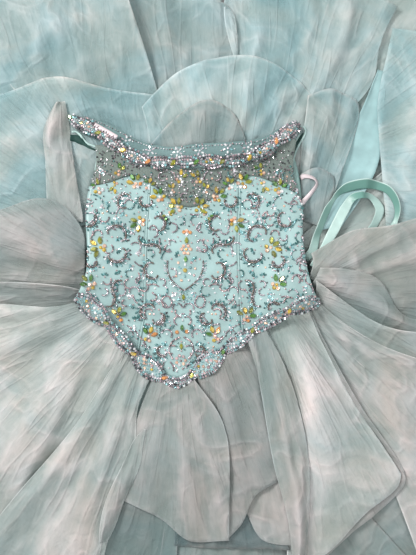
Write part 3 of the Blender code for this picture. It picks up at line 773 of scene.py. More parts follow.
GORE_CREASES = {
    "gore_back": drawn_folds(
        (8, 1.6, -4, 36, -8, 50, -13, 64), (-7, 2.2, -12, 38, -20, 50, -28, 60)),
    "gore_back_left": drawn_folds(
        (10, 2.8, -24, 26, -44, 34, -70, 46), (-8, 3, -26, 16, -52, 22, -84, 26),
        (7, 1.8, -20, 36, -36, 50, -54, 60)),
    "gore_left": drawn_folds(
        (10, 2.6, -34, 4, -62, -4, -92, -14), (-9, 3.2, -36, -10, -58, -26, -80, -40)),
    "gore_front_left": drawn_folds(
        (11, 3, -24, -34, -36, -60, -46, -88), (-8, 2.6, -10, -38, -16, -64, -20, -94),
        (8, 2, -40, -46, -54, -64, -66, -78)),
    "gore_front": drawn_folds(
        (10, 2.8, 4, -44, 6, -70, 4, -98), (-9, 3, 20, -46, 28, -70, 34, -92),
        (8, 1.8, 36, -48, 48, -66, 56, -80)),
    "gore_front_right": drawn_folds(
        (10, 2.6, 34, -26, 56, -42, 78, -54), (-8, 3, 40, -12, 64, -18, 88, -28)),
    "gore_right": drawn_folds(
        (9, 2.2, 44, 8, 66, 12, 90, 14), (-9, 3, 38, 24, 58, 32, 82, 42)),
    "gore_back_right": drawn_folds(
        (9, 2.2, 22, 42, 36, 54, 52, 62), (-6, 1.6, 10, 46, 16, 56, 20, 64)),
}


def gore_painted_shade(across, up):
    """Painted shade on the skirt: darker in front, most of all in the gap between the two long
    flounces.
    """
    off = (across - SHADE_GAP_MIDDLE[0]) ** 2 + (up - SHADE_GAP_MIDDLE[1]) ** 2
    between = np.exp(-off / SHADE_GAP_SPREAD)
    return 0.755 + 0.2 * up / np.hypot(across, up) - 0.13 * between


for node, seed, width, length in GORES:
    gore = lay_cloth(
        node + "_organza", node, GORE_CELL, (0.0, 0.0), 1.1, 1.6, seed, GORE_CREASES[node],
        pressed=True, tone=gore_painted_shade, hem_from=HEM_FROM)
    thicken(gore)
    dress(gore, ORGANZA_MINT_SHADED, "organza_mint", node)


# Panels and flounces that lie under and beside the bodice: single layers of organza with
# rolled edges, sewn in at the waist and thrown back.

SHEET_CELL = 5.0 * MM

# Rows: node, gather across and up in cm, fullness, crumple in mm, cloth, cut width and length
# in metres, and how the sheet is held.
SIDE_SHEETS = (
    ("underskirt_satin", 24, -10, 0.9, 1.2, "satin", 0.06, 0.30, "laid"),
    ("panel_back_centre", 0, 14, 0.65, 1.8, "aqua", 0.26, 0.24, "gathered"),
    ("panel_back_left", -14, 8, 0.55, 2.4, "aqua", 0.54, 0.35, "gathered"),
    ("panel_back_right", 14, 16, 0.7, 2.2, "aqua", 0.30, 0.28, "gathered"),
    ("panel_side_right", 16, 26, 0.45, 2.2, "aqua", 0.42, 0.38, "gathered"),
    ("panel_side_left", -8, 12, 0.55, 2.4, "aqua", 0.60, 0.31, "gathered"),
    ("flounce_neck_outer", 6, 8, 0.75, 1.9, "aqua", 0.34, 0.29, "gathered"),
    ("flounce_neck_inner", 2, 12, 0.75, 1.3, "aqua", 0.19, 0.18, "gathered"),
    ("tongue_right_outer", 18, 4, 0.9, 1.2, "aqua", 0.10, 0.24, "laid"),
    ("tongue_right_inner", 20, 4, 0.8, 1.0, "aqua", 0.06, 0.105, "laid"),
    ("spike_left", -22, 2, 0.9, 0.8, "milk", 0.07, 0.22, "laid"),
    ("puff_left", -8, 6, 0.6, 2.0, "milk", 0.50, 0.185, "gathered"),
    ("band_left", -8, 6, 0.6, 0.8, "milk", 0.52, 0.11, "laid"),
)

SIDE_CREASES = {
    "panel_back_left": drawn_folds(
        (7, 0.9, -12.6, 57, -9.4, 49, -6.6, 41.5), (-8, 2.4, -20, 36, -32, 40, -46, 42),
        (5, 0.8, -12.5, 45, -15.5, 48.5, -20, 48, -22.5, 44.5),
        (-5, 1.1, -18, 39.5, -25, 44.5, -33, 46.5, -38, 45),
        (-5, 0.8, -9.5, 42, -12, 45.5, -11.5, 50), (5, 1.3, -30, 49, -25, 55, -17, 56.5),
        (7, 2, -16, 44, -24, 52, -34, 60)),
    "panel_back_centre": drawn_folds(
        (-7, 1.5, 0, 38, -0.5, 48, -1.5, 58), (6, 0.8, 6, 40, 8, 50, 8.5, 57)),
    "panel_back_right": drawn_folds(
        (7, 0.8, 12.4, 54, 10.6, 46, 8.6, 42), (7, 1.6, 20, 38, 26, 48, 30, 58),
        (-6, 1.8, 16, 38, 19, 48, 21, 58)),
    "panel_side_right": drawn_folds(
        (-5, 1.5, 35, 24, 37, 36, 39, 48), (4.5, 1.5, 38.5, 14, 39, 27, 42, 38, 41, 50),
        (-5, 2.4, 46, 14, 52, 30, 60, 44)),
    "panel_side_left": drawn_folds(
        (6, 0.9, -27, 40.5, -17, 38.8, -8.4, 37), (8, 2.2, -24, 36, -33, 32, -44, 30),
        (-7, 2.4, -25, 24, -33, 21, -46, 18), (-5, 1.6, -22, 33, -16, 35, -12, 32)),
    "flounce_neck_outer": drawn_folds(
        (7, 1, 8, 32, 9.8, 39, 9.4, 45), (-6, 1.6, 14, 30, 17, 36, 18, 41),
        (5, 1.2, -6, 41, -2, 46, 4, 47.5)),
    "flounce_neck_inner": drawn_folds(
        (5, 0.8, -2, 29, -0.5, 34, 1.5, 38.5), (-4, 1.2, 4.5, 29, 5.5, 34, 5, 38)),
    "tongue_right_outer": drawn_folds(
        (-6, 1.4, 22.6, 24, 25, 30, 27.6, 38), (4, 0.8, 20.6, 27, 22, 34, 25.5, 40.5)),
    "spike_left": drawn_folds(
        (6, 0.9, -26, 22, -26.6, 30, -24, 38), (-5, 1, -23.5, 20, -23.8, 28, -22.4, 36)),
    "puff_left": drawn_folds(
        (6, 2.2, -21, 19, -30, 18.5, -42, 17), (-6, 2.2, -22, 9, -32, 10, -46, 9)),
}


SATIN_THREADS = 2200.0


def satin(name, colour, sheen=0.2, roughness=0.34, mottle=30.0, back=None, edge=None):
    """Smooth satin: a fine grain, soft gloss and, where it is eased, a painted shade and sheen that
    follow the puckers' bumps.

    A ribbon's back is painted in shade, much darker where its twist turns it up, and its edge has a
    painted highlight.
    """
    finish, tree, shader = new_finish(
        name, {"Roughness": roughness, "Sheen Weight": sheen, "Sheen Roughness": 0.35})
    where = spots_on(tree)
    clouds = noise_of(tree, where, mottle, 3.0)
    shadow = [0.80 * c for c in colour]
    shine = [min(1.0, 1.10 * c) for c in colour]
    # Painted shade and sheen: darker and paler with the same noise that bumps the eased puckers.
    pucker_shade_and_sheen = blend_colours(tree, rescaled(tree, clouds, 0.3, 0.7), shadow, shine)
    # Painted shade where a ribbon's back shows, and a painted highlight along its rim.
    for face, tint in (("back", back), ("rim", edge)):
        if tint is not None:
            pucker_shade_and_sheen = blend_colours(tree, marked(tree, face), pucker_shade_and_sheen, tint)
    link(tree, pucker_shade_and_sheen, shader, "Base Color")
    eased_over = bumped(tree, clouds, 0.25, 0.003)
    grain = weave_of(tree, where, SATIN_THREADS)
    link(tree, bumped(tree, grain, 0.15, 0.0002, eased_over), shader, "Normal")
    return finish


SATIN_UNDER = satin("satin_underskirt", (0.32, 0.50, 0.51), 0.2, 0.3)
CLOTHS = {
    "aqua": (ORGANZA_AQUA, "organza_mint"),
    "milk": (ORGANZA_MILK, "organza_pale"),
    "satin": (SATIN_UNDER, "satin_under"),
}


# Where a sheet is drawn over its neighbour, by node: middle across and up, radius, and the
# draw across and up, all in cm.
SIDE_SHIFTS = {
    "panel_back_right": (
        (8.0, 54.0, 9.0, -4.2, 0.5), (10.0, 61.0, 7.0, -2.6, 1.0), (31.0, 44.0, 6.0, 2.4, -0.6),
    ),
    "panel_back_centre": ((7.0, 50.0, 7.0, 1.6, 0.0), (4.5, 57.0, 6.0, 2.6, 1.2)),
    "underskirt_satin": ((35.0, 49.5, 7.0, 0.8), (34.5, 45.0, 8.0, -0.6, -5.0)),
    "spike_left": ((-23.8, 39.5, 3.5, 0.5),),
}

# Painted shade and light: how much darker or paler each sheet is painted for the shade or light it
# lies in among the layers; 1 is the cloth's own.
SHADE_AND_LIGHT_TONES = {
    "panel_back_centre": 0.88, "panel_back_left": 0.94, "panel_back_right": 1.06,
    "panel_side_right": 1.26, "flounce_neck_outer": 1.1, "flounce_neck_inner": 0.78,
    "puff_left": 0.76, "band_left": 0.8, "tongue_right_inner": 0.8, "flounce_right_ruffle": 0.96,
    "puff_right": 0.92, "flounce_right_upper": 1.14, "flounce_right_under": 0.8,
    "flounce_right_low": 1.1, "flounce_front_under": 0.44, "flounce_front_right": 0.76,
    "flounce_front_ruffle": 0.88, "pleat_right": 0.96, "flounce_left": 1.17,
    "flounce_right": 1.26, "flounce_front_centre": 0.88, "flounce_front_left": 1.1,
}

# The share of its pale edge that a sheet shows, where it isn't 1.
EDGES = {
    "panel_side_right": 0.35, "panel_back_left": 0.8, "panel_back_right": 0.6, "puff_right": 0.7,
    "flounce_right_upper": 0.6,
}


def dress_sheet(row, seed, creases, shifts, pressed=False, tuck=()):
    """One row of a table of sheets: laid, thickened and finished."""
    node, gather_x, gather_y, fullness, crumple, cloth, width, length, held = row
    sheet = lay_cloth(
        node + "_cloth", node, SHEET_CELL, (gather_x, gather_y), fullness, crumple, seed,
        creases.get(node, ()), pressed=pressed, shifts=shifts.get(node, ()), tuck=tuck,
        tone=SHADE_AND_LIGHT_TONES.get(node, 1.0), edge_shown=EDGES.get(node, 1.0))
    thicken(sheet)
    dress(sheet, *CLOTHS[cloth], node)
    return sheet


def dress_sheets(rows, first_seed, seed_step, *laying, **way):
    """A table of sheets, laid one over another in its order."""
    return [
        dress_sheet(row, first_seed + seed_step * order, *laying, **way)
        for order, row in enumerate(rows)]


dress_sheets(SIDE_SHEETS, 20.0, 1.9, SIDE_CREASES, SIDE_SHIFTS, pressed=True)


# Lacing ribbon: the back lacing's two strands, of mint satin ribbon 18 mm wide.
# They leave the gown's side, arch over and go back under a flounce, with no loose end.

# Across and up in cm along each strand's middle, as in the solids.
LACING_OUTER = pairs((
    20.2, 11, 21.6, 12.6, 22.6, 16, 24.6, 20.6, 27.2, 23.6, 31.4, 24.6, 35, 23.6, 36.8, 20.6,
    36.4, 17.6, 34.6, 14.4))
LACING_INNER = pairs((
    21.6, 9.4, 23.4, 12.4, 25.4, 16.2, 27.4, 20, 29.2, 22.3, 32.2, 22.4, 33.8, 20.2, 33, 17.6,
    31.2, 15, 29.6, 12.6))
RIBBON_WIDTH = 1.8
RIBBON_GRID = (90, 8)
RIBBON_WALL = 0.5 * MM
RIBBON_GAP = 1.4 * MM
RIBBON_RIPPLE = 1.6
KNOT_STEPS = 12


def through(points, pieces):
    """Even steps along a smooth curve through the points, as (pieces + 1) rows."""
    knots = np.array(points, dtype=float)
    padded = np.vstack([2.0 * knots[0] - knots[1], knots, 2.0 * knots[-1] - knots[-2]])
    fine = []
    for k in range(len(knots) - 1):
        a, b, c, d = padded[k:k + 4]
        for t in np.linspace(0.0, 1.0, KNOT_STEPS, endpoint=False):
            bend = (2 * a - 5 * b + 4 * c - d) * t * t + (3 * b - a - 3 * c + d) * t ** 3
            fine.append(0.5 * (2 * b + (c - a) * t + bend))
    fine = np.array(fine + [knots[-1]])
    reach = np.concatenate([[0.0], np.cumsum(np.linalg.norm(np.diff(fine, axis=0), axis=1))])
    wanted = np.linspace(0.0, reach[-1], pieces + 1)
    return np.stack([np.interp(wanted, reach, fine[:, k]) for k in range(knots.shape[1])], axis=1)


def sideways(middle):
    """Unit steps to the left of a path's direction, one for each of its points."""
    along = np.gradient(middle, axis=0)
    along /= np.linalg.norm(along, axis=1)[:, None]
    return np.column_stack([-along[:, 1], along[:, 0]])


def strip_mesh(name, plan, heights, turned):
    """A strip of faces over rows of plan points in cm: a grid with its points moved in place."""
    steps, across_steps = plan.shape[0] - 1, plan.shape[1] - 1
    shape = bmesh.new()
    # rim marks the edge that gets a painted highlight, and back where the painted shade of the turned
    # back shows.
    rim_highlight = shape.verts.layers.float.new("rim")
    back = shape.verts.layers.float.new("back")
    grid = bmesh.ops.create_grid(shape, x_segments=steps, y_segments=across_steps, size=1.0)
    for point in grid["verts"]:
        i = round((point.co.x + 1.0) / 2.0 * steps)
        j = round((point.co.y + 1.0) / 2.0 * across_steps)
        point[rim_highlight] = float(j == across_steps)
        point[back] = turned[i]
        point.co = place(plan[i, j, 0], plan[i, j, 1], heights[i, j])
    shape.normal_update()
    down = [face for face in shape.faces if face.normal.z < 0.0]
    bmesh.ops.reverse_faces(shape, faces=down)
    mesh = bpy.data.meshes.new(name)
    shape.to_mesh(mesh)
    shape.free()
    mesh.shade_smooth()
    return new_piece(name, mesh)


FLAT = (0.0, 0.0, 1.0, 0.0)
RIPPLE_RATE = 37.0
BRIDGING = 8


def lay_strip(name, route, width, grid, gap, wall, twist=(), ripple=0.0):
    """A ribbon laid along its route on the pile, and the points along its middle.

    twist has rows of (share of the length, height in mm that the left edge stands above the
    right one, share of the width that still shows in plan, share of the back that shows).
    """
    steps, across_steps = grid
    middle = through(route, steps)
    side = sideways(middle)
    share = np.linspace(0.0, 1.0, steps + 1)
    table = np.array(twist if len(twist) else (FLAT, FLAT), dtype=float)
    lean, shown, turned = (np.interp(share, table[:, 0], table[:, k]) for k in (1, 2, 3))
    places = np.linspace(-1.0, 1.0, across_steps + 1)
    half = (width / 2.0 * shown)[:, None, None]
    plan = middle[:, None] + side[:, None] * half * places[None, :, None]
    base = pile.height(WAIST_X + plan[..., 0] * CM, WAIST_Y + plan[..., 1] * CM).max(axis=1)
    for _ in range(BRIDGING):
        padded = np.pad(base, 1, mode="edge")
        base = np.maximum(base, (padded[:-2] + padded[2:]) / 2.0)
    wave = ripple * (0.5 + 0.5 * np.sin(share * RIPPLE_RATE))
    rise = np.abs(lean)[:, None] / 2.0 + lean[:, None] / 2.0 * places[None] + wave[:, None]
    heights = base[:, None] + gap + rise * MM
    strip = strip_mesh(name, plan, heights, turned)
    pile.add(strip.data)
    thicken(strip, wall)
    centre = [tuple(place(*spot, h)) for spot, h in zip(middle, heights[:, across_steps // 2])]
    return strip, centre


# Rows: share of the length, height in mm of the left edge over the right, width shown, and 1
# where the shaded back faces up.
TWIST_OUTER = (
    (0.0, 0.0, 0.8, 0.2), (0.08, 4.0, 0.9, 0.3), (0.16, 9.0, 0.72, 0.7), (0.3, 8.0, 0.7, 0.9),
    (0.36, 4.0, 0.4, 0.6), (0.42, 8.0, 0.62, 1.0), (0.47, 10.0, 0.95, 1.0), (0.58, 12.0, 0.95, 1.0),
    (0.64, 9.0, 0.8, 1.0), (0.76, 12.0, 0.6, 1.0), (0.87, 5.0, 0.4, 0.9), (0.92, 3.0, 0.6, 0.1),
    (1.0, 1.0, 0.9, 0.1),
)
TWIST_INNER = (
    (0.0, 0.0, 0.9, 0.2), (0.14, -4.0, 0.85, 0.0), (0.26, -2.0, 1.0, 0.0), (0.4, -3.0, 1.0, 0.0),
    (0.46, -5.0, 0.8, 0.2), (0.49, -8.0, 0.75, 1.0), (0.57, -8.0, 0.7, 1.0), (0.61, -6.0, 0.6, 0.3),
    (0.7, -4.0, 0.95, 0.1), (0.82, -6.0, 0.75, 0.2), (0.9, -3.0, 0.9, 0.1), (1.0, 0.0, 0.9, 0.1),
)
# Its back colour is painted shade on the turned face, and its edge colour a painted highlight.
RIBBON_MINT = satin(
    "satin_ribbon_mint", (0.47, 0.64, 0.60), 0.3, 0.32, back=(0.15, 0.32, 0.275),
    edge=(0.60, 0.76, 0.72))

for name, route, twist, length in (
    ("lacing_outer", LACING_OUTER, TWIST_OUTER, 0.37),
    ("lacing_inner", LACING_INNER, TWIST_INNER, 0.31),
):
    strand, centre = lay_strip(
        name + "_ribbon", route, RIBBON_WIDTH, RIBBON_GRID, RIBBON_GAP, RIBBON_WALL, twist,
        RIBBON_RIPPLE)
    dress(strand, RIBBON_MINT, "ribbon_mint", name)


# Right-hand flounces that fall over the lacing: a gathered ruffle, a rolled puff and a long
# panel, all of milky organza sewn in at the right of the waist.

# Rows as for the side sheets.
RIGHT_SHEETS = (
    ("flounce_right_ruffle", 16, 4, 0.9, 1.4, "milk", 0.48, 0.215, "gathered"),
    ("puff_right", 14, 8, 0.8, 1.2, "milk", 0.50, 0.10, "gathered"),
    ("flounce_right_upper", 14, 8, 0.9, 1.0, "milk", 0.53, 0.13, "gathered"),
)
RIGHT_CREASES = {
    "flounce_right_ruffle": drawn_folds(
        (6, 0.8, 28.6, 12.5, 29.4, 9, 30.2, 5), (-5, 1, 32, 12, 33.4, 8, 36, 5),
        (6, 1.4, 24, 6, 31, 5.6, 40, 2), (6, 1.8, 38, 14, 46, 12, 56, 9)),
    "puff_right": drawn_folds(
        (7, 1.2, 22, 7.4, 30, 3.6, 40, -1.6), (-5, 1, 22.6, 5, 31, 1.4, 40, -4)),
    "flounce_right_upper": drawn_folds(
        (7, 1, 27.7, -1.6, 33, -5, 39.6, -8.6), (-5, 1.2, 24, 2, 31, -2, 40, -6)),
}
dress_sheets(RIGHT_SHEETS, 60.0, 2.3, RIGHT_CREASES, {}, pressed=True)


# Bodice back: mint satin, lying under the front; its neck edge and armholes show above it.
# The firm pieces of the bodice are laid without folds, on a thin strip of the back's band.

BODICE_CELL = 5.0 * MM
BODICE_WALL = 1.0 * MM
FAR_ABOVE = (0.0, 60.0)
SATIN_MINT = satin("satin_bodice", (0.335, 0.49, 0.482), 0.15, 0.36, 22.0)
# The back is the mint satin painted darker for the shade it lies in under the front.
SATIN_BACK_SHADED = satin("satin_back_painted_shade", (0.23, 0.375, 0.355), 0.1, 0.4)
# Near black teal: the painted shade under the straps.
SATIN_SHADED = satin("satin_strap_painted_shade", (0.012, 0.06, 0.05), 0.0, 0.7)


def net(name, colour, cover, cells_per_metre):
    """Fine illusion net, half see-through, with a small even mesh."""
    finish, tree, shader = new_finish(name, {"Roughness": 0.6, "Sheen Weight": 0.2})
    where = spots_on(tree)
    holes = new_node(tree, "TexVoronoi", feature="DISTANCE_TO_EDGE")
    fill_sockets(tree, holes, {"Scale": cells_per_metre, "Vector": where})
    thread = (holes, "Distance")
    gap = rescaled(tree, thread, 0.0, 0.35, min(1.0, cover + 0.2), cover - 0.2)
    link(tree, gap, shader, "Alpha")
    shadow = [0.72 * c for c in colour]
    clouds = noise_of(tree, where, 36.0, 3.0)
    link(tree, blend_colours(tree, clouds, shadow, colour), shader, "Base Color")
    link(tree, bumped(tree, thread, 0.4, 0.0004), shader, "Normal")
    return finish


NET_NUDE = net("illusion_net", (0.235, 0.29, 0.26), 0.55, 700.0)
NET_MINT = net("back_net", (0.195, 0.32, 0.32), 0.7, 700.0)
NET_BAND = net("band_net", (0.26, 0.37, 0.36), 0.8, 700.0)
LACE_AQUA = net("trim_lace", (0.41, 0.58, 0.58), 0.92, 420.0)


def dress_firm(name, node, finish, slot, pucker=0.15, seed=0.0, creases=(), cell=BODICE_CELL,
               outline=(), shifts=()):
    """A firm piece of the bodice, laid on the pile with only slight puckers."""
    cloth = lay_cloth(
        name, node, cell, FAR_ABOVE, 0.0, pucker, seed, creases, lift=0.0, evening=8, sink=0.0,
        shifts=shifts)
    if len(outline):
        cut_to_cells(cloth.data, *outline)
    thicken(cloth, BODICE_WALL)
    dress(cloth, finish, slot, node)
    return cloth


dress_firm("bodice_back_satin", "bodice_back", SATIN_BACK_SHADED, "satin_mint")
back_band = dress_firm(
    "band_back_net", "neckline_band_back", NET_MINT, "beadwork", cell=4.0 * MM)


# Bodice front: three cuts of mint satin joined at the princess seams, boned and firm.
# The satin eases a little beside each seam and over the boning.

FRONT_CUTS = (
    ("bodice_front_left", 0.115, 0.29),
    ("bodice_front_centre", 0.18, 0.33),
    ("bodice_front_right", 0.12, 0.27),
)
BODICE_CREASES = drawn_folds(
    (0.5, 0.6, -15.2, 20, -15.6, 10, -15, 0), (0.5, 0.6, 14.6, 20, 15.4, 10, 15.6, 1),
    (0.4, 0.6, -4.8, 18, -5, 6, -4.4, -6), (0.4, 0.6, 2.8, 18, 2, 6, 0.4, -6))
bead_ground = []
for node, width, length in FRONT_CUTS:
    bead_ground.append(dress_firm(
        node + "_satin", node, SATIN_MINT, "satin_mint", 0.35, 4.0, BODICE_CREASES))


# Seams and bindings: a narrow strip of the same satin over each princess seam, and the two
# armholes' folded bindings, which lie on the bodice back.

SEAM_LEFT = pairs((
    -7.7, 25, -8, 21.3, -8.3, 17.8, -8.5, 12, -8.6, 6, -8.8, 1.5, -9.4, -2.4, -10.1, -6))
SEAM_RIGHT = pairs((
    8.1, 25.6, 8.45, 22.4, 8.25, 18, 8.15, 13, 8.3, 8, 8.55, 3.3, 8.8, 0.2, 9, -2.6))
ARMHOLE_OUTER = pairs((
    20.1, 35.2, 20.5, 34.4, 20.2, 33.4, 19.4, 32, 18.7, 30.6, 18.1, 29, 17.8, 27.6, 17.7, 26.2))
ARMHOLE_INNER = pairs((19.5, 33.9, 18.6, 32.4, 17.7, 30.9, 17.2, 29.4, 17, 28, 16.9, 26.4))
ARMHOLE_LEFT = pairs((
    -22, 34, -21.3, 34.1, -20.5, 33.5, -19.9, 32.7, -19.1, 31.9, -18, 31.5, -17.4, 31,
    -17.4, 29.2, -17.7, 27))
# Routes of the dark strips that paint the shade under each strap.
STRAP_SHADE_LEFT = pairs((-22.2, 32.9, -21.1, 32.8, -20.2, 32.2, -18.9, 31.3, -17.5, 30.7))
STRAP_SHADE_RIGHT = pairs((20.1, 34, 19.2, 32.5, 18.4, 31, 17.8, 29.4, 17.4, 28))
TAPERED = ((0.0, 0.0, 0.8, 0.0), (0.3, 0.0, 1.0, 0.0), (0.55, 0.0, 0.4, 0.0), (1.0, 0.0, 0.16, 0.0))
NARROW = ((0.0, 0.0, 0.3, 0.0), (0.2, 0.0, 0.9, 0.0), (0.7, 0.0, 1.0, 0.0), (1.0, 0.0, 0.3, 0.0))
# The bindings are the mint satin painted paler: a painted highlight on their folded edges.
BINDING_MINT_LIT = satin("satin_binding_lit", (0.46, 0.64, 0.61), 0.2, 0.4)
STRIP_GRID = (40, 2)
STRIP_GAP = 0.5 * MM
STRIP_WALL = 0.5 * MM
STRIP_RIPPLE = 0.3


def sew_strip(name, route, width, finish, taper=()):
    """A narrow strip laid flat along its route."""
    strip, centre = lay_strip(
        name, route, width, STRIP_GRID, STRIP_GAP, STRIP_WALL, taper, STRIP_RIPPLE)
    dress(strip, finish, "satin_mint")


for strip_row in (
    ("seam_left", SEAM_LEFT, 0.34, SATIN_MINT),
    ("seam_right", SEAM_RIGHT, 0.34, SATIN_MINT),
    # Dark strips of painted shade inside the straps.
    ("strap_inside_left", STRAP_SHADE_LEFT, 1.4, SATIN_SHADED, TAPERED),
    ("strap_inside_right", STRAP_SHADE_RIGHT, 0.6, SATIN_SHADED, NARROW),
    ("binding_right_outer", ARMHOLE_OUTER, 0.34, BINDING_MINT_LIT),
    ("binding_right_inner", ARMHOLE_INNER, 0.34, BINDING_MINT_LIT),
    ("binding_left", ARMHOLE_LEFT, 0.36, BINDING_MINT_LIT),
):
    sew_strip(*strip_row)


# Yoke: a single layer of fine illusion net, drawn smooth from the sweetheart edge of the
# satin up to the neckline band, and sewn to both.

YOKE_SHIFTS = (
    (-15.6, 29.8, 2.2, -0.2, 1.1), (-12.8, 28.4, 2.4, 0.3, 1.0), (14.0, 29.4, 2.2, -0.1, 1.0),
    (17.2, 31.0, 2.4, 0.3, 1.1),
)
yoke = dress_firm(
    "yoke_illusion_net", "yoke_net", NET_NUDE, "net_nude", 0.25, 9.0,
    shifts=YOKE_SHIFTS)
bead_ground.append(yoke)


# The skirt's front flounces, gathered into the waist seam under the trim. Each is a single
# layer of organza with a rolled edge; they lie over one another from the right and the left
# towards the middle.

WAIST_TRIM = pairs((
    -20.6, 4.4, -17.4, 1.5, -14.8, -1, -12.2, -4.4, -9.6, -7.1, -5.8, -10.2, -2.7, -11.4,
    -0.2, -10, 2.7, -7.8, 6.4, -5, 10.4, -2, 13.9, 0.1, 17.6, 2, 20.3, 3, 22.4, 3.4))

# Where a flounce is drawn over its neighbour, as for the side sheets.
FRONT_SHIFTS = {
    "flounce_left": (
        (-16.5, -9.5, 4.5, 2.2, -0.4), (-20.5, -15.5, 5.0, 2.6, -0.8), (-25.0, -22.0, 5.0, 2.4, -0.8),
        (-30.0, -29.5, 5.0, 1.6, -0.5),
    ),
    "flounce_front_left": ((-12.0, -24.0, 6.0, 2.0, 0.0), (-14.8, -33.0, 6.0, 2.0, 0.0)),
    "flounce_front_centre": ((-10.0, -21.0, 6.0, -1.2, 0.0), (-12.0, -29.0, 5.0, -1.4, 0.0)),
    "curl_front_left": (
        (-8.4, -19.6, 4.0, 0.85), (-16.6, -40.4, 3.0, 0.6), (-9.5, -22.0, 3.0, -0.6, 0.0),
    ),
    "pleat_right": ((17.8, -44.0, 4.0, 0.4),),
}
# Rows as for the side sheets; the tops of these are tucked under the trim.
FRONT_SHEETS = (
    ("flounce_right_low", 14, 6, 0.6, 1.6, "milk", 0.36, 0.42, "gathered"),
    ("flounce_right_under", 12, 6, 0.7, 0.9, "milk", 0.14, 0.46, "gathered"),
    ("flounce_right", 12, 8, 0.5, 1.4, "milk", 0.16, 0.47, "gathered"),
    ("flounce_front_under", 2, 2, 0.8, 0.7, "aqua", 0.20, 0.27, "gathered"),
    ("flounce_front_ruffle", 5, 2, 0.9, 0.7, "milk", 0.12, 0.28, "gathered"),
    ("flounce_front_right", 2, 4, 0.8, 0.8, "milk", 0.10, 0.35, "gathered"),
    ("pleat_right", 9, 10, 0.7, 0.6, "milk", 0.07, 0.45, "folded"),
    ("flounce_left", -8, 6, 0.5, 1.8, "milk", 0.55, 0.52, "gathered"),
    ("flounce_front_centre", -3, 2, 0.65, 1.1, "milk", 0.18, 0.29, "gathered"),
    ("flounce_front_left", -6, 4, 0.55, 1.5, "milk", 0.26, 0.61, "gathered"),
    ("curl_front_left", -6, -4, 0.6, 0.4, "milk", 0.037, 0.22, "folded"),
)
FRONT_CREASES = {
    "flounce_right_low": drawn_folds(
        (8, 1.6, 26, 0, 33, -3.6, 43, -8), (5, 0.7, 27, 0.2, 27.8, -2.4, 28, -4.4, 27.2, -7),
        (-8, 0.8, 28, -2.6, 28.9, -5, 30.2, -7.2, 32, -10.4), (-5, 1.8, 27, -9, 31, -14, 36, -22),
        (7, 2.4, 30, -8, 36, -18, 41, -30), (6, 1.6, 38, -22, 44, -32, 50, -42)),
    "flounce_right_under": drawn_folds(
        (4, 1, 23, -3, 27, -12, 32, -24)),
    "flounce_right": drawn_folds(
        (7, 2.8, 17, -2, 21, -12, 27, -26), (-6, 1.6, 14.6, -6, 16.6, -16, 20.6, -30),
        (-4, 1.4, 20, -1, 26, -12, 33, -24), (5, 1.2, 19, -20, 20.6, -30, 21, -42)),
    "flounce_front_ruffle": drawn_folds(
        (5, 0.9, 13, -19, 10, -26, 8.6, -34), (-5, 1, 15, -21, 13.4, -27, 12.6, -33),
        (-4, 0.9, 9.6, -24, 7.6, -30, 7, -36)),
    "flounce_front_right": drawn_folds(
        (6, 1.3, 4.6, -9, 5.2, -17, 6.4, -28), (-6, 1.3, 7.4, -8, 9.2, -17, 10, -28),
        (4, 0.9, 10.4, -6, 12.2, -16, 14.2, -27)),
    "pleat_right": drawn_folds(
        (6, 1, 13.4, -5, 15, -12, 16, -20, 18.6, -32), (-7, 0.6, 17.8, -21.4, 18.3, -26.6),
        (-4, 0.6, 16.6, -24, 17.2, -32, 17.6, -40),
        (3, 0.7, 15.4, -4, 17, -12, 18.4, -20, 20, -28)),
    "flounce_left": drawn_folds(
        (-11, 2, -15.7, -3, -19.6, -11.7, -24.5, -22.5, -30, -33),
        (6, 0.7, -20, -8.5, -22.7, -14.4, -27.5, -23.4, -33, -33),
        (9, 2.4, -21.5, 1.5, -30, -3, -40, -9, -52, -18),
        (-6, 2.2, -22, -1, -29, -8, -37, -18, -46, -32), (5, 1.4, -24, 2.4, -34, 1, -46, -2),
        (5, 1.6, -20.5, -4, -25, -12, -31, -21)),
    "flounce_front_centre": drawn_folds(
        (6, 0.9, -1.6, -12.6, 1.4, -20, 4, -28, 6, -37),
        (-5, 1.6, -4.6, -13, -4.4, -22, -3.4, -32), (5, 1.6, -8.6, -15, -9.6, -22, -11.2, -30),
        (5, 1.4, -1.6, -22, -0.4, -30, 0.4, -38)),
    "flounce_front_left": drawn_folds(
        (9, 2.2, -13.4, -6.5, -17.6, -15, -24, -25, -33, -37),
        (-7, 1.2, -12.3, -8.5, -15.5, -17, -20.5, -28, -26, -38),
        (6, 1.1, -11.2, -9.4, -12.8, -18, -16, -27, -19.6, -37),
        (-7, 2.4, -27, -34, -34, -46, -42, -58), (7, 2, -20, -38, -25, -50, -31, -60)),
    "curl_front_left": drawn_folds(
        (5, 0.8, -9, -20.5, -11.2, -27, -14, -34, -15.8, -39.5)),
}
flounce_ground = dress_sheets(
    FRONT_SHEETS, 80.0, 2.1, FRONT_CREASES, FRONT_SHIFTS, tuck=WAIST_TRIM)


# Waist trim and neckline band: strips of net that carry the beads, sewn over the seams.
# The trim follows the pointed waist in lens-shaped cells; the band crosses the shoulders.

BAND_FRONT = pairs((
    -22.2, 36.6, -18, 34.4, -14.4, 31.8, -10.8, 29.4, -6.8, 28.3, -0.5, 28.4, 6.3, 28.4,
    10.2, 29.2, 13.2, 30.6, 16.2, 33, 19.2, 35.4))
BAND_BACK = pairs((
    -20.6, 36.2, -17.4, 35, -14, 33.4, -11, 31.6, -7.6, 30.4, -3.6, 29.8, 0.6, 30.3, 7, 30.6,
    12.8, 31.5, 16, 33.4, 18.6, 35.6))

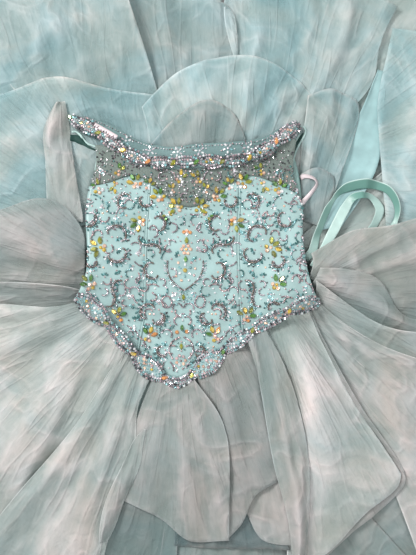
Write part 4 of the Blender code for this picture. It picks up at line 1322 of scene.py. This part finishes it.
# Where the cells meet, as shares of each path, and how far their chains stand off the path
# at the middle of each cell, in cm.
TRIM_KNOTS = (0.0, 0.135, 0.271, 0.40, 0.504, 0.638, 0.757, 0.896, 1.0)
TRIM_HALVES = (1.55, 0.9, 1.55, 0.5, 1.55, 0.9, 0.85, 1.15)
BAND_KNOTS = (0.0, 0.13, 0.25, 0.36, 0.46, 0.55, 0.65, 0.76, 0.88, 1.0)
BAND_HALVES = (1.0, 0.75, 0.95, 0.8, 0.65, 0.9, 0.7, 0.95, 1.0)
PINCH = 0.24


def cell_half(share, knots, halves):
    for start, end, half in zip(knots, knots[1:], halves):
        if share <= end:
            bow = math.sin(math.pi * min(1.0, max(0.0, (share - start) / (end - start))))
            return PINCH + (half - PINCH) * bow ** 0.75
    return PINCH


NET_MARGIN = 0.34


def cut_to_cells(mesh, path, knots, halves):
    """Cuts a trim's net away beyond its chains."""
    shape = bmesh.new()
    shape.from_mesh(mesh)
    spots = np.array([face.calc_center_median()[:2] for face in shape.faces])
    gap, share = beside(path, *in_cm(spots[:, 0], spots[:, 1]))[:2]
    beyond = [
        face for face, off, at in zip(shape.faces, gap, share)
        if off > cell_half(at, knots, halves) + NET_MARGIN]
    bmesh.ops.delete(shape, geom=beyond, context="FACES")
    shape.to_mesh(mesh)
    shape.free()


TRIM_BASE = dress_firm(
    "trim_net", "waist_trim", LACE_AQUA, "beadwork", cell=3.0 * MM,
    outline=(WAIST_TRIM, TRIM_KNOTS, TRIM_HALVES))
BAND_BASE = dress_firm(
    "band_front_net", "neckline_band_front", NET_BAND, "beadwork", cell=3.0 * MM,
    outline=(BAND_FRONT, BAND_KNOTS, BAND_HALVES), shifts=((-21.6, 36.4, 2.4, -0.9, 0.1),))


# Hanger loops: two lengths of pale pink satin ribbon 9 mm wide, which the gown hangs by.
# Their ends are sewn inside the bodice, one at the right side seam and one at the left strap.

LOOP_RIGHT = pairs((19.6, 21, 21.4, 23, 22.4, 24.6, 21.8, 25.6, 20.2, 26, 19.4, 25.6))
LOOP_LEFT = pairs((-17.8, 35.2, -15.8, 34, -13.6, 32.6))
LOOP_TWIST = ((0, 0, 1, 0), (0.4, 4, 0.7, 0), (0.6, 6, 0.5, 0), (1, 0, 1, 0))
LOOP_WIDTH = 0.9
LOOP_GRID = (24, 2)
LOOP_GAP = 0.8 * MM
LOOP_WALL = 0.4 * MM
RIBBON_PINK = satin("satin_ribbon_pink", (0.74, 0.64, 0.66), 0.3, 0.3)
for name, route, twist, length in (
    ("hanger_loop_right", LOOP_RIGHT, LOOP_TWIST, 0.10),
    ("hanger_loop_left", LOOP_LEFT, (), 0.05),
):
    loop = lay_strip(name + "_ribbon", route, LOOP_WIDTH, LOOP_GRID, LOOP_GAP, LOOP_WALL, twist)[0]
    dress(loop, RIBBON_PINK, "ribbon_pink", name)


# Beadwork: round seed beads, long bugle beads, faceted stones and pointed marquise stones,
# all of coated glass. Each is sewn through the cloth, so it sits on it and leans a little;
# one piece of work is joined in one mesh that keeps every bead's own colour.

SILVER = (0.62, 0.56, 0.60)
ROSE = (0.62, 0.43, 0.43)
MAUVE = (0.18, 0.14, 0.15)
DUSK = (0.36, 0.27, 0.30)
DARK = (0.035, 0.03, 0.035)
WHITE = (0.92, 0.92, 0.94)
COPPER = (0.165, 0.125, 0.10)
TEAL = (0.045, 0.175, 0.17)
AQUA = (0.25, 0.50, 0.52)
PEACH = (0.92, 0.57, 0.42)
GOLD = (0.58, 0.40, 0.045)
ORANGE = (0.78, 0.32, 0.09)
OLIVE = (0.24, 0.25, 0.015)
GREEN = (0.07, 0.21, 0.02)
CHAIN_TINTS = (SILVER, DUSK, WHITE, MAUVE, SILVER, AQUA, DARK, ROSE, DUSK)
STONE_TINTS = (PEACH, WHITE, PEACH, ROSE, GOLD)
LEAN = math.radians(14.0)
TINT_SPREAD = 0.3
PLACE_CELL = 0.3
UPRIGHT = 1.57
FLECK_PALE = (0.9, 0.9, 0.95)
FILM_SHEEN_BLUE = (0.25, 0.35, 0.5)
GLASS = {
    "Roughness": 0.2, "Metallic": 0.35, "Coat Weight": 0.7, "Coat Roughness": 0.06, "IOR": 1.6,
}


# Sides, radius of the top and depth of each cut of bead, for a length of 1.
CUTS = {"stone": (8, 0.27, 0.42), "marquise": (10, 0.3, 0.30), "bugle": (6, 0.5, 1.0)}


def bead_shape(sort):
    """One bead of unit length: its points, its faces and whether it is smooth."""
    shape = bmesh.new()
    if sort == "seed":
        bmesh.ops.create_uvsphere(shape, u_segments=6, v_segments=4, radius=0.5)
    else:
        segments, top, depth = CUTS[sort]
        bmesh.ops.create_cone(
            shape, cap_ends=True, segments=segments, radius1=0.5, radius2=top, depth=depth)
    if sort == "marquise":
        for point in shape.verts:
            point.co.y *= 0.62 * (1.0 - 1.6 * point.co.x ** 2)
    if sort == "bugle":
        bmesh.ops.rotate(shape, verts=shape.verts, matrix=Matrix.Rotation(math.pi / 2.0, 3, "Y"))
        bmesh.ops.scale(shape, verts=shape.verts, vec=(1.0, 0.36, 0.36))
    points = np.array([point.co[:] for point in shape.verts])
    faces = sorted([point.index for point in face.verts] for face in shape.faces)
    shape.free()
    return points, faces, sort == "seed"


BEAD_SHAPES = {sort: bead_shape(sort) for sort in ("seed", "stone", "marquise", "bugle")}
BEAD_SEAT = {"seed": 0.34, "stone": 0.17, "marquise": 0.12, "bugle": 0.14}


def bead_glass():
    """Glass with a thin coating: its own colour, paler in small flecks, and turned blue at grazing
    angles by a painted sheen of the coating.
    """
    finish, tree, shader = new_finish("bead_glass", GLASS)
    flecks = noise_of(tree, spots_on(tree), 300.0, 2.0)
    fleck_share = rescaled(tree, flecks, 0.5, 0.75, 0.0, 0.28)
    bright = blend_colours(tree, fleck_share, marked(tree, "tint", "Color"), FLECK_PALE)
    slope = (new_node(tree, "LayerWeight"), "Facing")
    film_sheen_share = rescaled(tree, slope, 0.3, 1.0, 0.0, 0.3)
    link(tree, blend_colours(tree, film_sheen_share, bright, FILM_SHEEN_BLUE), shader, "Base Color")
    return finish


BEAD_GLASS = bead_glass()
# A spray of scale 1: turns in radians, reaches in cm and lengths in mm.
LEAF_TURN = 0.85
LEAF_REACH = 0.85
LEAF_STAGGER = 0.12
LEAF_LENGTH = 11.0
PETAL_REACH = 0.55
PETAL_LENGTH = 6.0
HEART_LENGTH = 5.0
SPRAY_SEEDS = 9
SEED_LENGTH = 3.2
SEED_GAP = 0.3


def towards(across, up, angle, reach):
    """The plan point that lies so far away at an angle, in cm."""
    return across + reach * math.cos(angle), up + reach * math.sin(angle)


class BeadWork:
    """The beads of one piece of work, on the cloth that they are sewn to.

    clear_of has rows of a path in cm and how far beads keep from it.
    """

    def __init__(self, name, ground, seed, clear_of=()):
        self.name = name
        self.ground = tree_of(*(piece.data for piece in ground))
        self.draw = random.Random(seed)
        self.clear_of = clear_of
        self.points = []
        self.faces = []
        self.tints = []
        self.smooth = []
        self.places = {}

    def sew(self, sort, across, up, size, tint, turn=0.0):
        """One bead at a plan point in cm; size is its length in mm, turn its direction."""
        spot = place(across, up)
        height = top_of(self.ground, spot.x, spot.y)
        if height is None:
            return
        for path, reach in self.clear_of:
            if beside(path, np.array([across]), np.array([up]))[0][0] < reach:
                return
        spot.z = height + BEAD_SEAT[sort] * size * MM
        lean_x = self.draw.uniform(-LEAN, LEAN)
        lean_y = self.draw.uniform(-LEAN, LEAN)
        shade = 1.0 + self.draw.uniform(-TINT_SPREAD, TINT_SPREAD)
        pose = np.array(
            Matrix.Translation(spot) @ Matrix.Rotation(turn, 4, "Z")
            @ Matrix.Rotation(lean_x, 4, "X") @ Matrix.Rotation(lean_y, 4, "Y")
            @ Matrix.Scale(size * MM, 4))
        shape, faces, smooth = BEAD_SHAPES[sort]
        first = len(self.points)
        self.points.extend(shape @ pose[:3, :3].T + pose[:3, 3])
        self.faces.extend([first + k for k in face] for face in faces)
        self.smooth.extend([smooth] * len(faces))
        self.tints.extend([[min(1.0, shade * c) for c in tint] + [1.0]] * len(shape))
        cell = math.floor(across / PLACE_CELL), math.floor(up / PLACE_CELL)
        self.places.setdefault(cell, []).append((across, up))

    def sew_row(self, sort, route, spacing, size, tints, side=0.0, turn=0.0):
        """Beads at even steps of a path; side moves the row to the left, both in cm."""
        knots = np.array(route, dtype=float)
        length = np.linalg.norm(np.diff(knots, axis=0), axis=1).sum()
        middle = through(route, max(2, round(length / spacing)))
        along = np.gradient(middle, axis=0)
        middle = middle + sideways(middle) * side
        for (across, up), (run_x, run_y) in zip(middle, along):
            heading = math.atan2(run_y, run_x) + turn * self.draw.uniform(0.7, 1.3)
            self.sew(sort, across, up, size, self.draw.choice(tints), heading)

    def ring(self, sort, across, up, count, radius, size, tints, turn=0.0):
        """Beads that point outwards in a ring; its radius is in cm."""
        for k in range(count):
            angle = turn + 2.0 * math.pi * k / count
            at = towards(across, up, angle, radius)
            self.sew(sort, *at, size, self.draw.choice(tints), angle)

    def spray(self, across, up, turn, leaves, petals, size=1.0):
        """A flower spray: a fan of marquise leaves over round petals, and seeds about it."""
        for k, tint in enumerate(leaves):
            angle = turn + (k - (len(leaves) - 1) / 2.0) * LEAF_TURN
            at = towards(across, up, angle, size * (LEAF_REACH + LEAF_STAGGER * (k % 2)))
            self.sew("marquise", *at, LEAF_LENGTH * size, tint, angle)
        for k, tint in enumerate(petals):
            angle = turn + math.pi + (k - (len(petals) - 1) / 2.0)
            at = towards(across, up, angle, PETAL_REACH * size)
            self.sew("stone", *at, PETAL_LENGTH * size, tint)
        self.sew("stone", across, up, HEART_LENGTH * size, self.draw.choice((WHITE, PEACH, GOLD)))
        for k in range(SPRAY_SEEDS):
            angle = turn + 2.0 * math.pi * (k + self.draw.uniform(-0.2, 0.2)) / SPRAY_SEEDS
            at = towards(across, up, angle, size * self.draw.uniform(1.15, 1.5))
            if self.is_free(*at, SEED_GAP):
                tint = self.draw.choice((ROSE, TEAL, DARK, SILVER, WHITE))
                self.sew("seed", *at, SEED_LENGTH, tint)

    def is_free(self, across, up, gap):
        """Whether no bead sewn so far is within the gap, in cm, of a plan point."""
        reach = math.ceil(gap / PLACE_CELL)
        i, j = math.floor(across / PLACE_CELL), math.floor(up / PLACE_CELL)
        near = (
            spot for a in range(i - reach, i + reach + 1) for b in range(j - reach, j + reach + 1)
            for spot in self.places.get((a, b), ()))
        return all(math.hypot(across - x, up - y) > gap for x, y in near)

    def finish(self):
        mesh = bpy.data.meshes.new(self.name)
        mesh.from_pydata([tuple(point) for point in self.points], [], self.faces)
        mesh.update()
        mesh.polygons.foreach_set("use_smooth", self.smooth)
        tint = mesh.color_attributes.new("tint", "FLOAT_COLOR", "POINT")
        tint.data.foreach_set("color", np.array(self.tints, dtype=np.float32).reshape(-1))
        dress(new_piece(self.name, mesh), BEAD_GLASS, "beadwork")


# Bodice beadwork: a pendant column down the middle, paired scrolls of copper beads fringed
# with teal, sprays of coloured stones, and small arcs and sprigs that fill the satin between.

MIDDLE_AT = -1.9
MIDDLE_LEAN = 0.05
HANDS = (1.0, -1.0)


def on_front(off, up):
    """A point off the bodice's own middle line, which leans a little, in cm."""
    return MIDDLE_AT + MIDDLE_LEAN * up + off, up


def facing_on(hand, degrees):
    """A direction given for the left side, as it is there or, mirrored, on the right."""
    return math.radians(degrees if hand > 0 else 180.0 - degrees)


# Rows: middle's way off the middle line and up in cm, radius in cm, facing in degrees for the
# left side, 1 for a C scroll or -1 for an S, and which side is fringed.
SCROLLS = (
    (3.9, 17.6, 1.5, 100, 1, 1),
    (6.6, 13.6, 1.7, 200, -1, 1),
    (11.8, 16.8, 1.9, 150, 1, 1),
    (16.4, 17.4, 1.5, 60, 1, 1),
    (12.6, 21.8, 1.5, 250, 1, -1),
    (11.6, 10.4, 1.8, 20, 1, 1),
    (17.2, 9.6, 1.3, 330, 1, 1),
    (7.2, 8.4, 1.7, 290, 1, 1),
    (12.4, 4.8, 1.9, 120, -1, 1),
    (7.4, 2.4, 1.6, 230, 1, 1),
    (3.6, -0.6, 1.3, 40, 1, 1),
    (16.6, 3.2, 1.2, 200, 1, 1),
    (4.2, -6.2, 1.1, 300, 1, 1),
    (8.0, 20.4, 1.3, 340, 1, 1),
)
SCROLL_CURL = 1.9
SCROLL_REACH = 1.75
SCROLL_STEPS = 18


def scroll_route(off, up, radius, facing, kind, hand):
    """Points in cm along a scroll whose ends curl in; hand is 1 on the left side, -1 right."""
    halves = []
    for way in (-1.0, 1.0):
        x, y = on_front(-hand * off, up)
        angle = facing_on(hand, facing) + (math.pi if way < 0 else 0.0)
        bend = way * hand * (kind if way > 0 else 1.0)
        step = SCROLL_REACH * radius / SCROLL_STEPS
        half = []
        for k in range(SCROLL_STEPS):
            curl = 1.0 + SCROLL_CURL * ((k + 0.5) / SCROLL_STEPS) ** 4
            angle += bend * curl * step / radius
            x, y = towards(x, y, angle, step)
            half.append((x, y))
        halves.append(half)
    return halves[0][::-1] + [on_front(-hand * off, up)] + halves[1]


# Rows of beads along a scroll: sort, how many of its points are left bare at each end,
# spacing in cm, length in mm, tints, way off the scroll in cm, and turn off its direction.
SCROLL_ROWS = (
    ("seed", 0, 0.3, 4.1, (COPPER, COPPER, COPPER, MAUVE, COPPER, SILVER), 0.0, 0.0),
    ("bugle", 3, 0.3, 5.0, (TEAL, AQUA, TEAL, SILVER, TEAL, AQUA), 0.4, 1.2),
    ("marquise", 4, 0.58, 6.4, (TEAL, AQUA, WHITE, TEAL, DARK), 0.66, 1.2),
    ("seed", 8, 0.36, 3.0, (ROSE, MAUVE, TEAL, SILVER), -0.33, 0.0),
)


def scroll(work, row, hand):
    off, up, radius, facing, kind, fringe = row
    route = scroll_route(off, up, radius, facing, kind, hand)
    out = -hand * fringe
    for sort, ends, spacing, size, tints, side, turn in SCROLL_ROWS:
        work.sew_row(
            sort, route[ends:len(route) - ends], spacing, size, tints, side * out, turn * out)


SPRAY_SCALE = 1.14

# Rows: off the middle line and up in cm, fan's direction in degrees for the left side, leaves,
# petals, scale.
SPRAYS = (
    (1.9, 20.4, 150, (OLIVE, GOLD, OLIVE, OLIVE), (PEACH, GOLD), 1.15),
    (5.2, 22.2, 130, (GREEN, OLIVE, GOLD), (PEACH, ORANGE, GOLD), 1.15),
    (1.6, 25.4, 60, (OLIVE, GOLD), (PEACH, GOLD, WHITE), 1.0),
    (3.5, 18.9, 215, (OLIVE, GREEN), (GOLD, PEACH), 0.85),
    (7.3, 24.2, 70, (OLIVE, GOLD, GREEN), (PEACH, WHITE), 0.95),
    (3.0, 23.4, 100, (GOLD, OLIVE), (WHITE, PEACH), 0.8),
    (13.4, 24.2, 250, (OLIVE, GOLD), (PEACH, GOLD), 0.9),
    (9.6, 24.6, 120, (OLIVE, GREEN, GOLD), (PEACH, WHITE, ORANGE), 1.2),
    (12.8, 26.8, 60, (OLIVE, GREEN), (GOLD, PEACH), 1.0),
    (16.2, 23.6, 100, (GREEN, OLIVE, GREEN), (GOLD, PEACH, WHITE), 1.15),
    (8.6, 17.6, 210, (OLIVE, GREEN, GOLD), (PEACH, ORANGE, GOLD), 1.2),
    (15.2, 13.0, 170, (OLIVE, GOLD, OLIVE, OLIVE), (GOLD, PEACH), 1.25),
    (16.6, 6.4, 130, (GREEN, OLIVE, GREEN), (PEACH, GOLD, PEACH), 1.2),
    (11.6, 0.6, 100, (GREEN, OLIVE, GOLD, OLIVE), (PEACH, ORANGE), 1.2),
    (6.0, -3.0, 70, (ORANGE, GOLD, GREEN), (GOLD, PEACH), 1.2),
)

# The swag under the middle's large stone and the hooks below it, on the left side.
SWAG = pairs((3.2, 10.6, 3.2, 9.2, 2.6, 7.6, 1.4, 6.3, 0.15, 5.4))
HOOK = pairs((0.5, -3.2, 1.7, -4, 2.2, -5.6, 1.5, -7))


def column(work):
    """The middle's pendants: stones one under another, ringed, in a swag of copper beads."""
    work.spray(*on_front(0.0, 15.4), -1.6, (OLIVE,), (ORANGE, PEACH, ORANGE), 1.3)
    work.ring("stone", *on_front(0.0, 12.7), 6, 0.78, 7.4, (PEACH, PEACH, ROSE))
    work.sew("stone", *on_front(0.0, 12.7), 6.0, ORANGE)
    work.sew("marquise", *on_front(0.0, 10.9), 13.0, GREEN, UPRIGHT)
    work.ring("marquise", *on_front(0.0, 8.9), 6, 1.05, 7.5, (WHITE, AQUA, WHITE), 0.5)
    work.sew("stone", *on_front(0.0, 8.9), 9.0, GOLD)
    work.ring("stone", *on_front(0.0, 8.9), 9, 1.85, 5.6, (PEACH, ROSE, WHITE), 0.2)
    for hand in HANDS:
        swag = [on_front(-hand * off, up) for off, up in SWAG]
        work.sew_row("seed", swag, 0.3, 3.6, (COPPER, COPPER, MAUVE, SILVER))
        work.sew_row("bugle", swag, 0.42, 4.6, (TEAL, AQUA, SILVER), hand * -0.42, hand * 1.1)
        work.ring("marquise", *on_front(-hand * 1.3, 3.4), 3, 0.5, 7.0, (AQUA, WHITE), hand * 0.6)
        work.sew("stone", *on_front(-hand * 0.9, -2.2), 8.4, ORANGE)
        hook = [on_front(-hand * off, up) for off, up in HOOK]
        work.sew_row("seed", hook, 0.3, 4.0, (ROSE, MAUVE, SILVER))
    work.sew("marquise", *on_front(0.0, 4.1), 12.0, OLIVE, UPRIGHT)
    work.ring("seed", *on_front(0.0, 4.1), 8, 0.8, 3.4, (TEAL, AQUA, SILVER))
    work.sew("marquise", *on_front(0.0, -1.4), 13.0, GREEN, UPRIGHT)
    work.ring("marquise", *on_front(0.0, 0.5), 3, 0.5, 7.0, (WHITE, AQUA, DARK), 0.5)
    work.sew("marquise", *on_front(0.0, -4.8), 13.0, OLIVE, UPRIGHT)
    work.ring("seed", *on_front(0.0, -4.8), 8, 0.85, 3.4, (ROSE, TEAL, WHITE))
    work.ring("stone", *on_front(0.0, -7.4), 7, 0.85, 6.8, (PEACH, ROSE, WHITE))
    work.sew("stone", *on_front(0.0, -7.4), 5.0, MAUVE)


ARC_TINTS = ((TEAL, AQUA, TEAL, SILVER), (ROSE, MAUVE, DUSK), (DUSK, MAUVE, SILVER))
ARC_STEP = 0.29
ARC_GAP = 0.21
FAN_LEAVES = 4
FAN_REACH = 0.55
FAN_GAP = 0.26
MOTIF_TRIES = 2600
MOTIF_GAP = 0.7
FAN_SHARE = 0.3
ARC_SHARE = 0.75


def arc(work, across, up, angle, radius, span, tints, size):
    """Seeds along part of a ring, each sewn only where the satin is free."""
    count = round(span * radius / ARC_STEP)
    for k in range(count + 1):
        spot = towards(across, up, angle + span * (k / count - 0.5), radius)
        if work.is_free(*spot, ARC_GAP):
            work.sew("seed", *spot, size, work.draw.choice(tints))


def fan(work, across, up, angle, tints, size):
    """Marquise leaves that open from a point, each sewn only where the satin is free."""
    for k in range(FAN_LEAVES):
        heading = angle + (k - (FAN_LEAVES - 1) / 2.0) * 0.55
        spot = towards(across, up, heading, FAN_REACH)
        if work.is_free(*spot, FAN_GAP):
            work.sew("marquise", *spot, size, work.draw.choice(tints), heading)


def fill_between_motifs(work):
    """Fans, arcs and sprigs in mirrored pairs wherever the satin is still bare."""
    chosen = work.draw
    for _ in range(MOTIF_TRIES):
        off, up = chosen.uniform(0.4, 23.5), chosen.uniform(-11.0, 27.0)
        sort = chosen.random()
        angle = chosen.uniform(0.0, 2.0 * math.pi)
        radius = chosen.uniform(0.55, 0.95)
        tints = chosen.choice(ARC_TINTS)
        pale = chosen.random() < 0.45
        for hand in HANDS:
            across, height = on_front(-hand * off, up)
            if not work.is_free(across, height, MOTIF_GAP):
                continue
            turned = angle if hand > 0 else math.pi - angle
            if sort < FAN_SHARE:
                leaf_tints = (WHITE, AQUA, SILVER) if pale else (TEAL, AQUA, TEAL)
                work.sew("seed", across, height, 3.2, ROSE)
                fan(work, across, height, turned, leaf_tints, 6.5)
            elif sort < ARC_SHARE:
                arc(work, across, height, turned, radius, 3.2, tints, 3.6)
            else:
                arc(work, across, height, turned, 2.2 * radius, 1.1, tints, 3.4)
                work.sew("stone", across, height, 4.6, chosen.choice((ROSE, PEACH, WHITE)))


SPRINKLE_TRIES = 1500
SPRINKLE_GAP = 0.36
SPRINKLE_SORTS = (("seed", 3.2), ("seed", 3.2), ("stone", 4.4))
SPRINKLE_TINTS = (SILVER, WHITE, MAUVE, DARK, MAUVE, DARK, DARK, TEAL)


def sprinkle(work, cloth):
    """Loose stones and seeds all over a cloth, between what is sewn on it already."""
    under = tree_of(cloth.data)
    for _ in range(SPRINKLE_TRIES):
        off, up = work.draw.uniform(-20.0, 22.0), work.draw.uniform(21.5, 30.5)
        across, height = on_front(off, up)
        spot = place(across, height)
        on_cloth = top_of(under, spot.x, spot.y) is not None
        if on_cloth and work.is_free(across, height, SPRINKLE_GAP):
            sort, size = work.draw.choice(SPRINKLE_SORTS)
            work.sew(sort, across, height, size, work.draw.choice(SPRINKLE_TINTS))


TRIM_CLEARANCE = 1.7
BAND_CLEARANCE = 1.2
front_work = BeadWork(
    "bodice_beadwork", bead_ground, 11,
    ((WAIST_TRIM, TRIM_CLEARANCE), (BAND_FRONT, BAND_CLEARANCE)))
column(front_work)
for off, up, fan_turn, leaves, petals, scale in SPRAYS:
    for hand in HANDS:
        front_work.spray(
            *on_front(-hand * off, up), facing_on(hand, fan_turn), leaves, petals,
            SPRAY_SCALE * scale)
for scroll_row in SCROLLS:
    for hand in HANDS:
        scroll(front_work, scroll_row, hand)
fill_between_motifs(front_work)
sprinkle(front_work, yoke)
front_work.finish()


# Trim beadwork: double chains of silver and rose stones that part and meet in lens-shaped
# cells, with a marquise stone where they meet and crystal stones on aqua lace in each cell.

CHAIN_GAP = 0.26
LENS_STEPS = 240
LENS_STONES = 8
LENS_TRIES = 1400
LEAST_STONED = 0.75
LENS_FROM = 0.2
LENS_STONE_STEP = 0.085
LENS_SIDES = (-0.42, 0.38, 0.0)
LENS_STONE_GAP = 0.34
KNOT_TINTS = (GREEN, OLIVE, GOLD, ORANGE, OLIVE)
KNOT_LENGTH = 15.0
KNOT_TURN = 0.8


def double_chain(work, route):
    """Two close rows of stones over a row of dark seeds, whose dark tints paint the shade between
    them.
    """
    work.sew_row("seed", route, 0.42, 2.8, (DARK, DARK, MAUVE))
    for hand in HANDS:
        work.sew_row("stone", route, 0.5, 5.2, CHAIN_TINTS, hand * CHAIN_GAP)


def lens_work(work, path, knots, halves, fill_tints, stone_size):
    """Cells between two double chains along a path, with their stones."""
    middle = through(path, LENS_STEPS)
    side = sideways(middle)
    shares = np.linspace(0.0, 1.0, LENS_STEPS + 1)
    reach = np.array([cell_half(share, knots, halves) for share in shares])
    for hand in HANDS:
        double_chain(work, [tuple(spot) for spot in (middle + side * (hand * reach)[:, None])[::3]])
    for k, (start, end) in enumerate(zip(knots, knots[1:])):
        at = round(start * LENS_STEPS)
        heading = math.atan2(side[at][1], side[at][0]) - UPRIGHT + KNOT_TURN
        if k:
            tint = KNOT_TINTS[k % len(KNOT_TINTS)]
            work.sew("marquise", *middle[at], KNOT_LENGTH, tint, heading)
        if halves[k] < LEAST_STONED:
            continue
        length = (end - start) * LENS_STEPS
        for j in range(LENS_STONES):
            at = round(start * LENS_STEPS + length * (LENS_FROM + LENS_STONE_STEP * j))
            spot = middle[at] + side[at] * LENS_SIDES[j % len(LENS_SIDES)] * halves[k]
            if work.is_free(*spot, LENS_STONE_GAP):
                work.sew("stone", *spot, stone_size, work.draw.choice(STONE_TINTS))
    for _ in range(LENS_TRIES):
        at = work.draw.randrange(LENS_STEPS + 1)
        spot = middle[at] + side[at] * reach[at] * work.draw.uniform(-0.8, 0.8)
        if work.is_free(*spot, SEED_GAP):
            work.sew("seed", *spot, 2.9, work.draw.choice(fill_tints))


trim_work = BeadWork("trim_beadwork", [TRIM_BASE, *bead_ground, *flounce_ground], 23)
lens_work(trim_work, WAIST_TRIM, TRIM_KNOTS, TRIM_HALVES, (AQUA, AQUA, WHITE, AQUA, PEACH), 6.8)
trim_work.finish()


# Neckline beadwork: smaller cells cover the front band closely from tip to tip, and a sparse
# row of clear stones is sewn along the net of the back.

neck_work = BeadWork("neckline_beadwork", [BAND_BASE, back_band, *bead_ground], 37)
lens_work(
    neck_work, BAND_FRONT, BAND_KNOTS, BAND_HALVES, (SILVER, AQUA, WHITE, AQUA, SILVER, ROSE), 6.0)
BACK_STEPS = 60
back_row = through(BAND_BACK, BACK_STEPS)
neck_work.sew("marquise", *BAND_FRONT[0], 12.0, GREEN, 2.2)
neck_work.sew_row("seed", back_row[::3], 0.55, 2.8, (WHITE, SILVER, MAUVE, SILVER), 0.85)
# Clear stones along the back: the step of the row that each is near, and its tint.
BACK_STONES = (
    (13, WHITE), (20, SILVER), (27, WHITE), (33, WHITE), (40, SILVER), (46, WHITE), (53, ROSE),
)
for k, pale in BACK_STONES:
    aside = neck_work.draw.uniform(-0.4, 0.4), neck_work.draw.uniform(-0.1, 0.4)
    spot = back_row[k] + np.array(aside)
    neck_work.sew("stone", *spot, 5.4, pale)
    neck_work.ring("marquise", *spot, 5, 0.7, 7.0, (WHITE, SILVER, AQUA, WHITE), 0.4 * k)
    neck_work.ring("seed", *spot, 7, 1.2, 3.0, (WHITE, MAUVE, ROSE), 0.2 * k)
neck_work.finish()
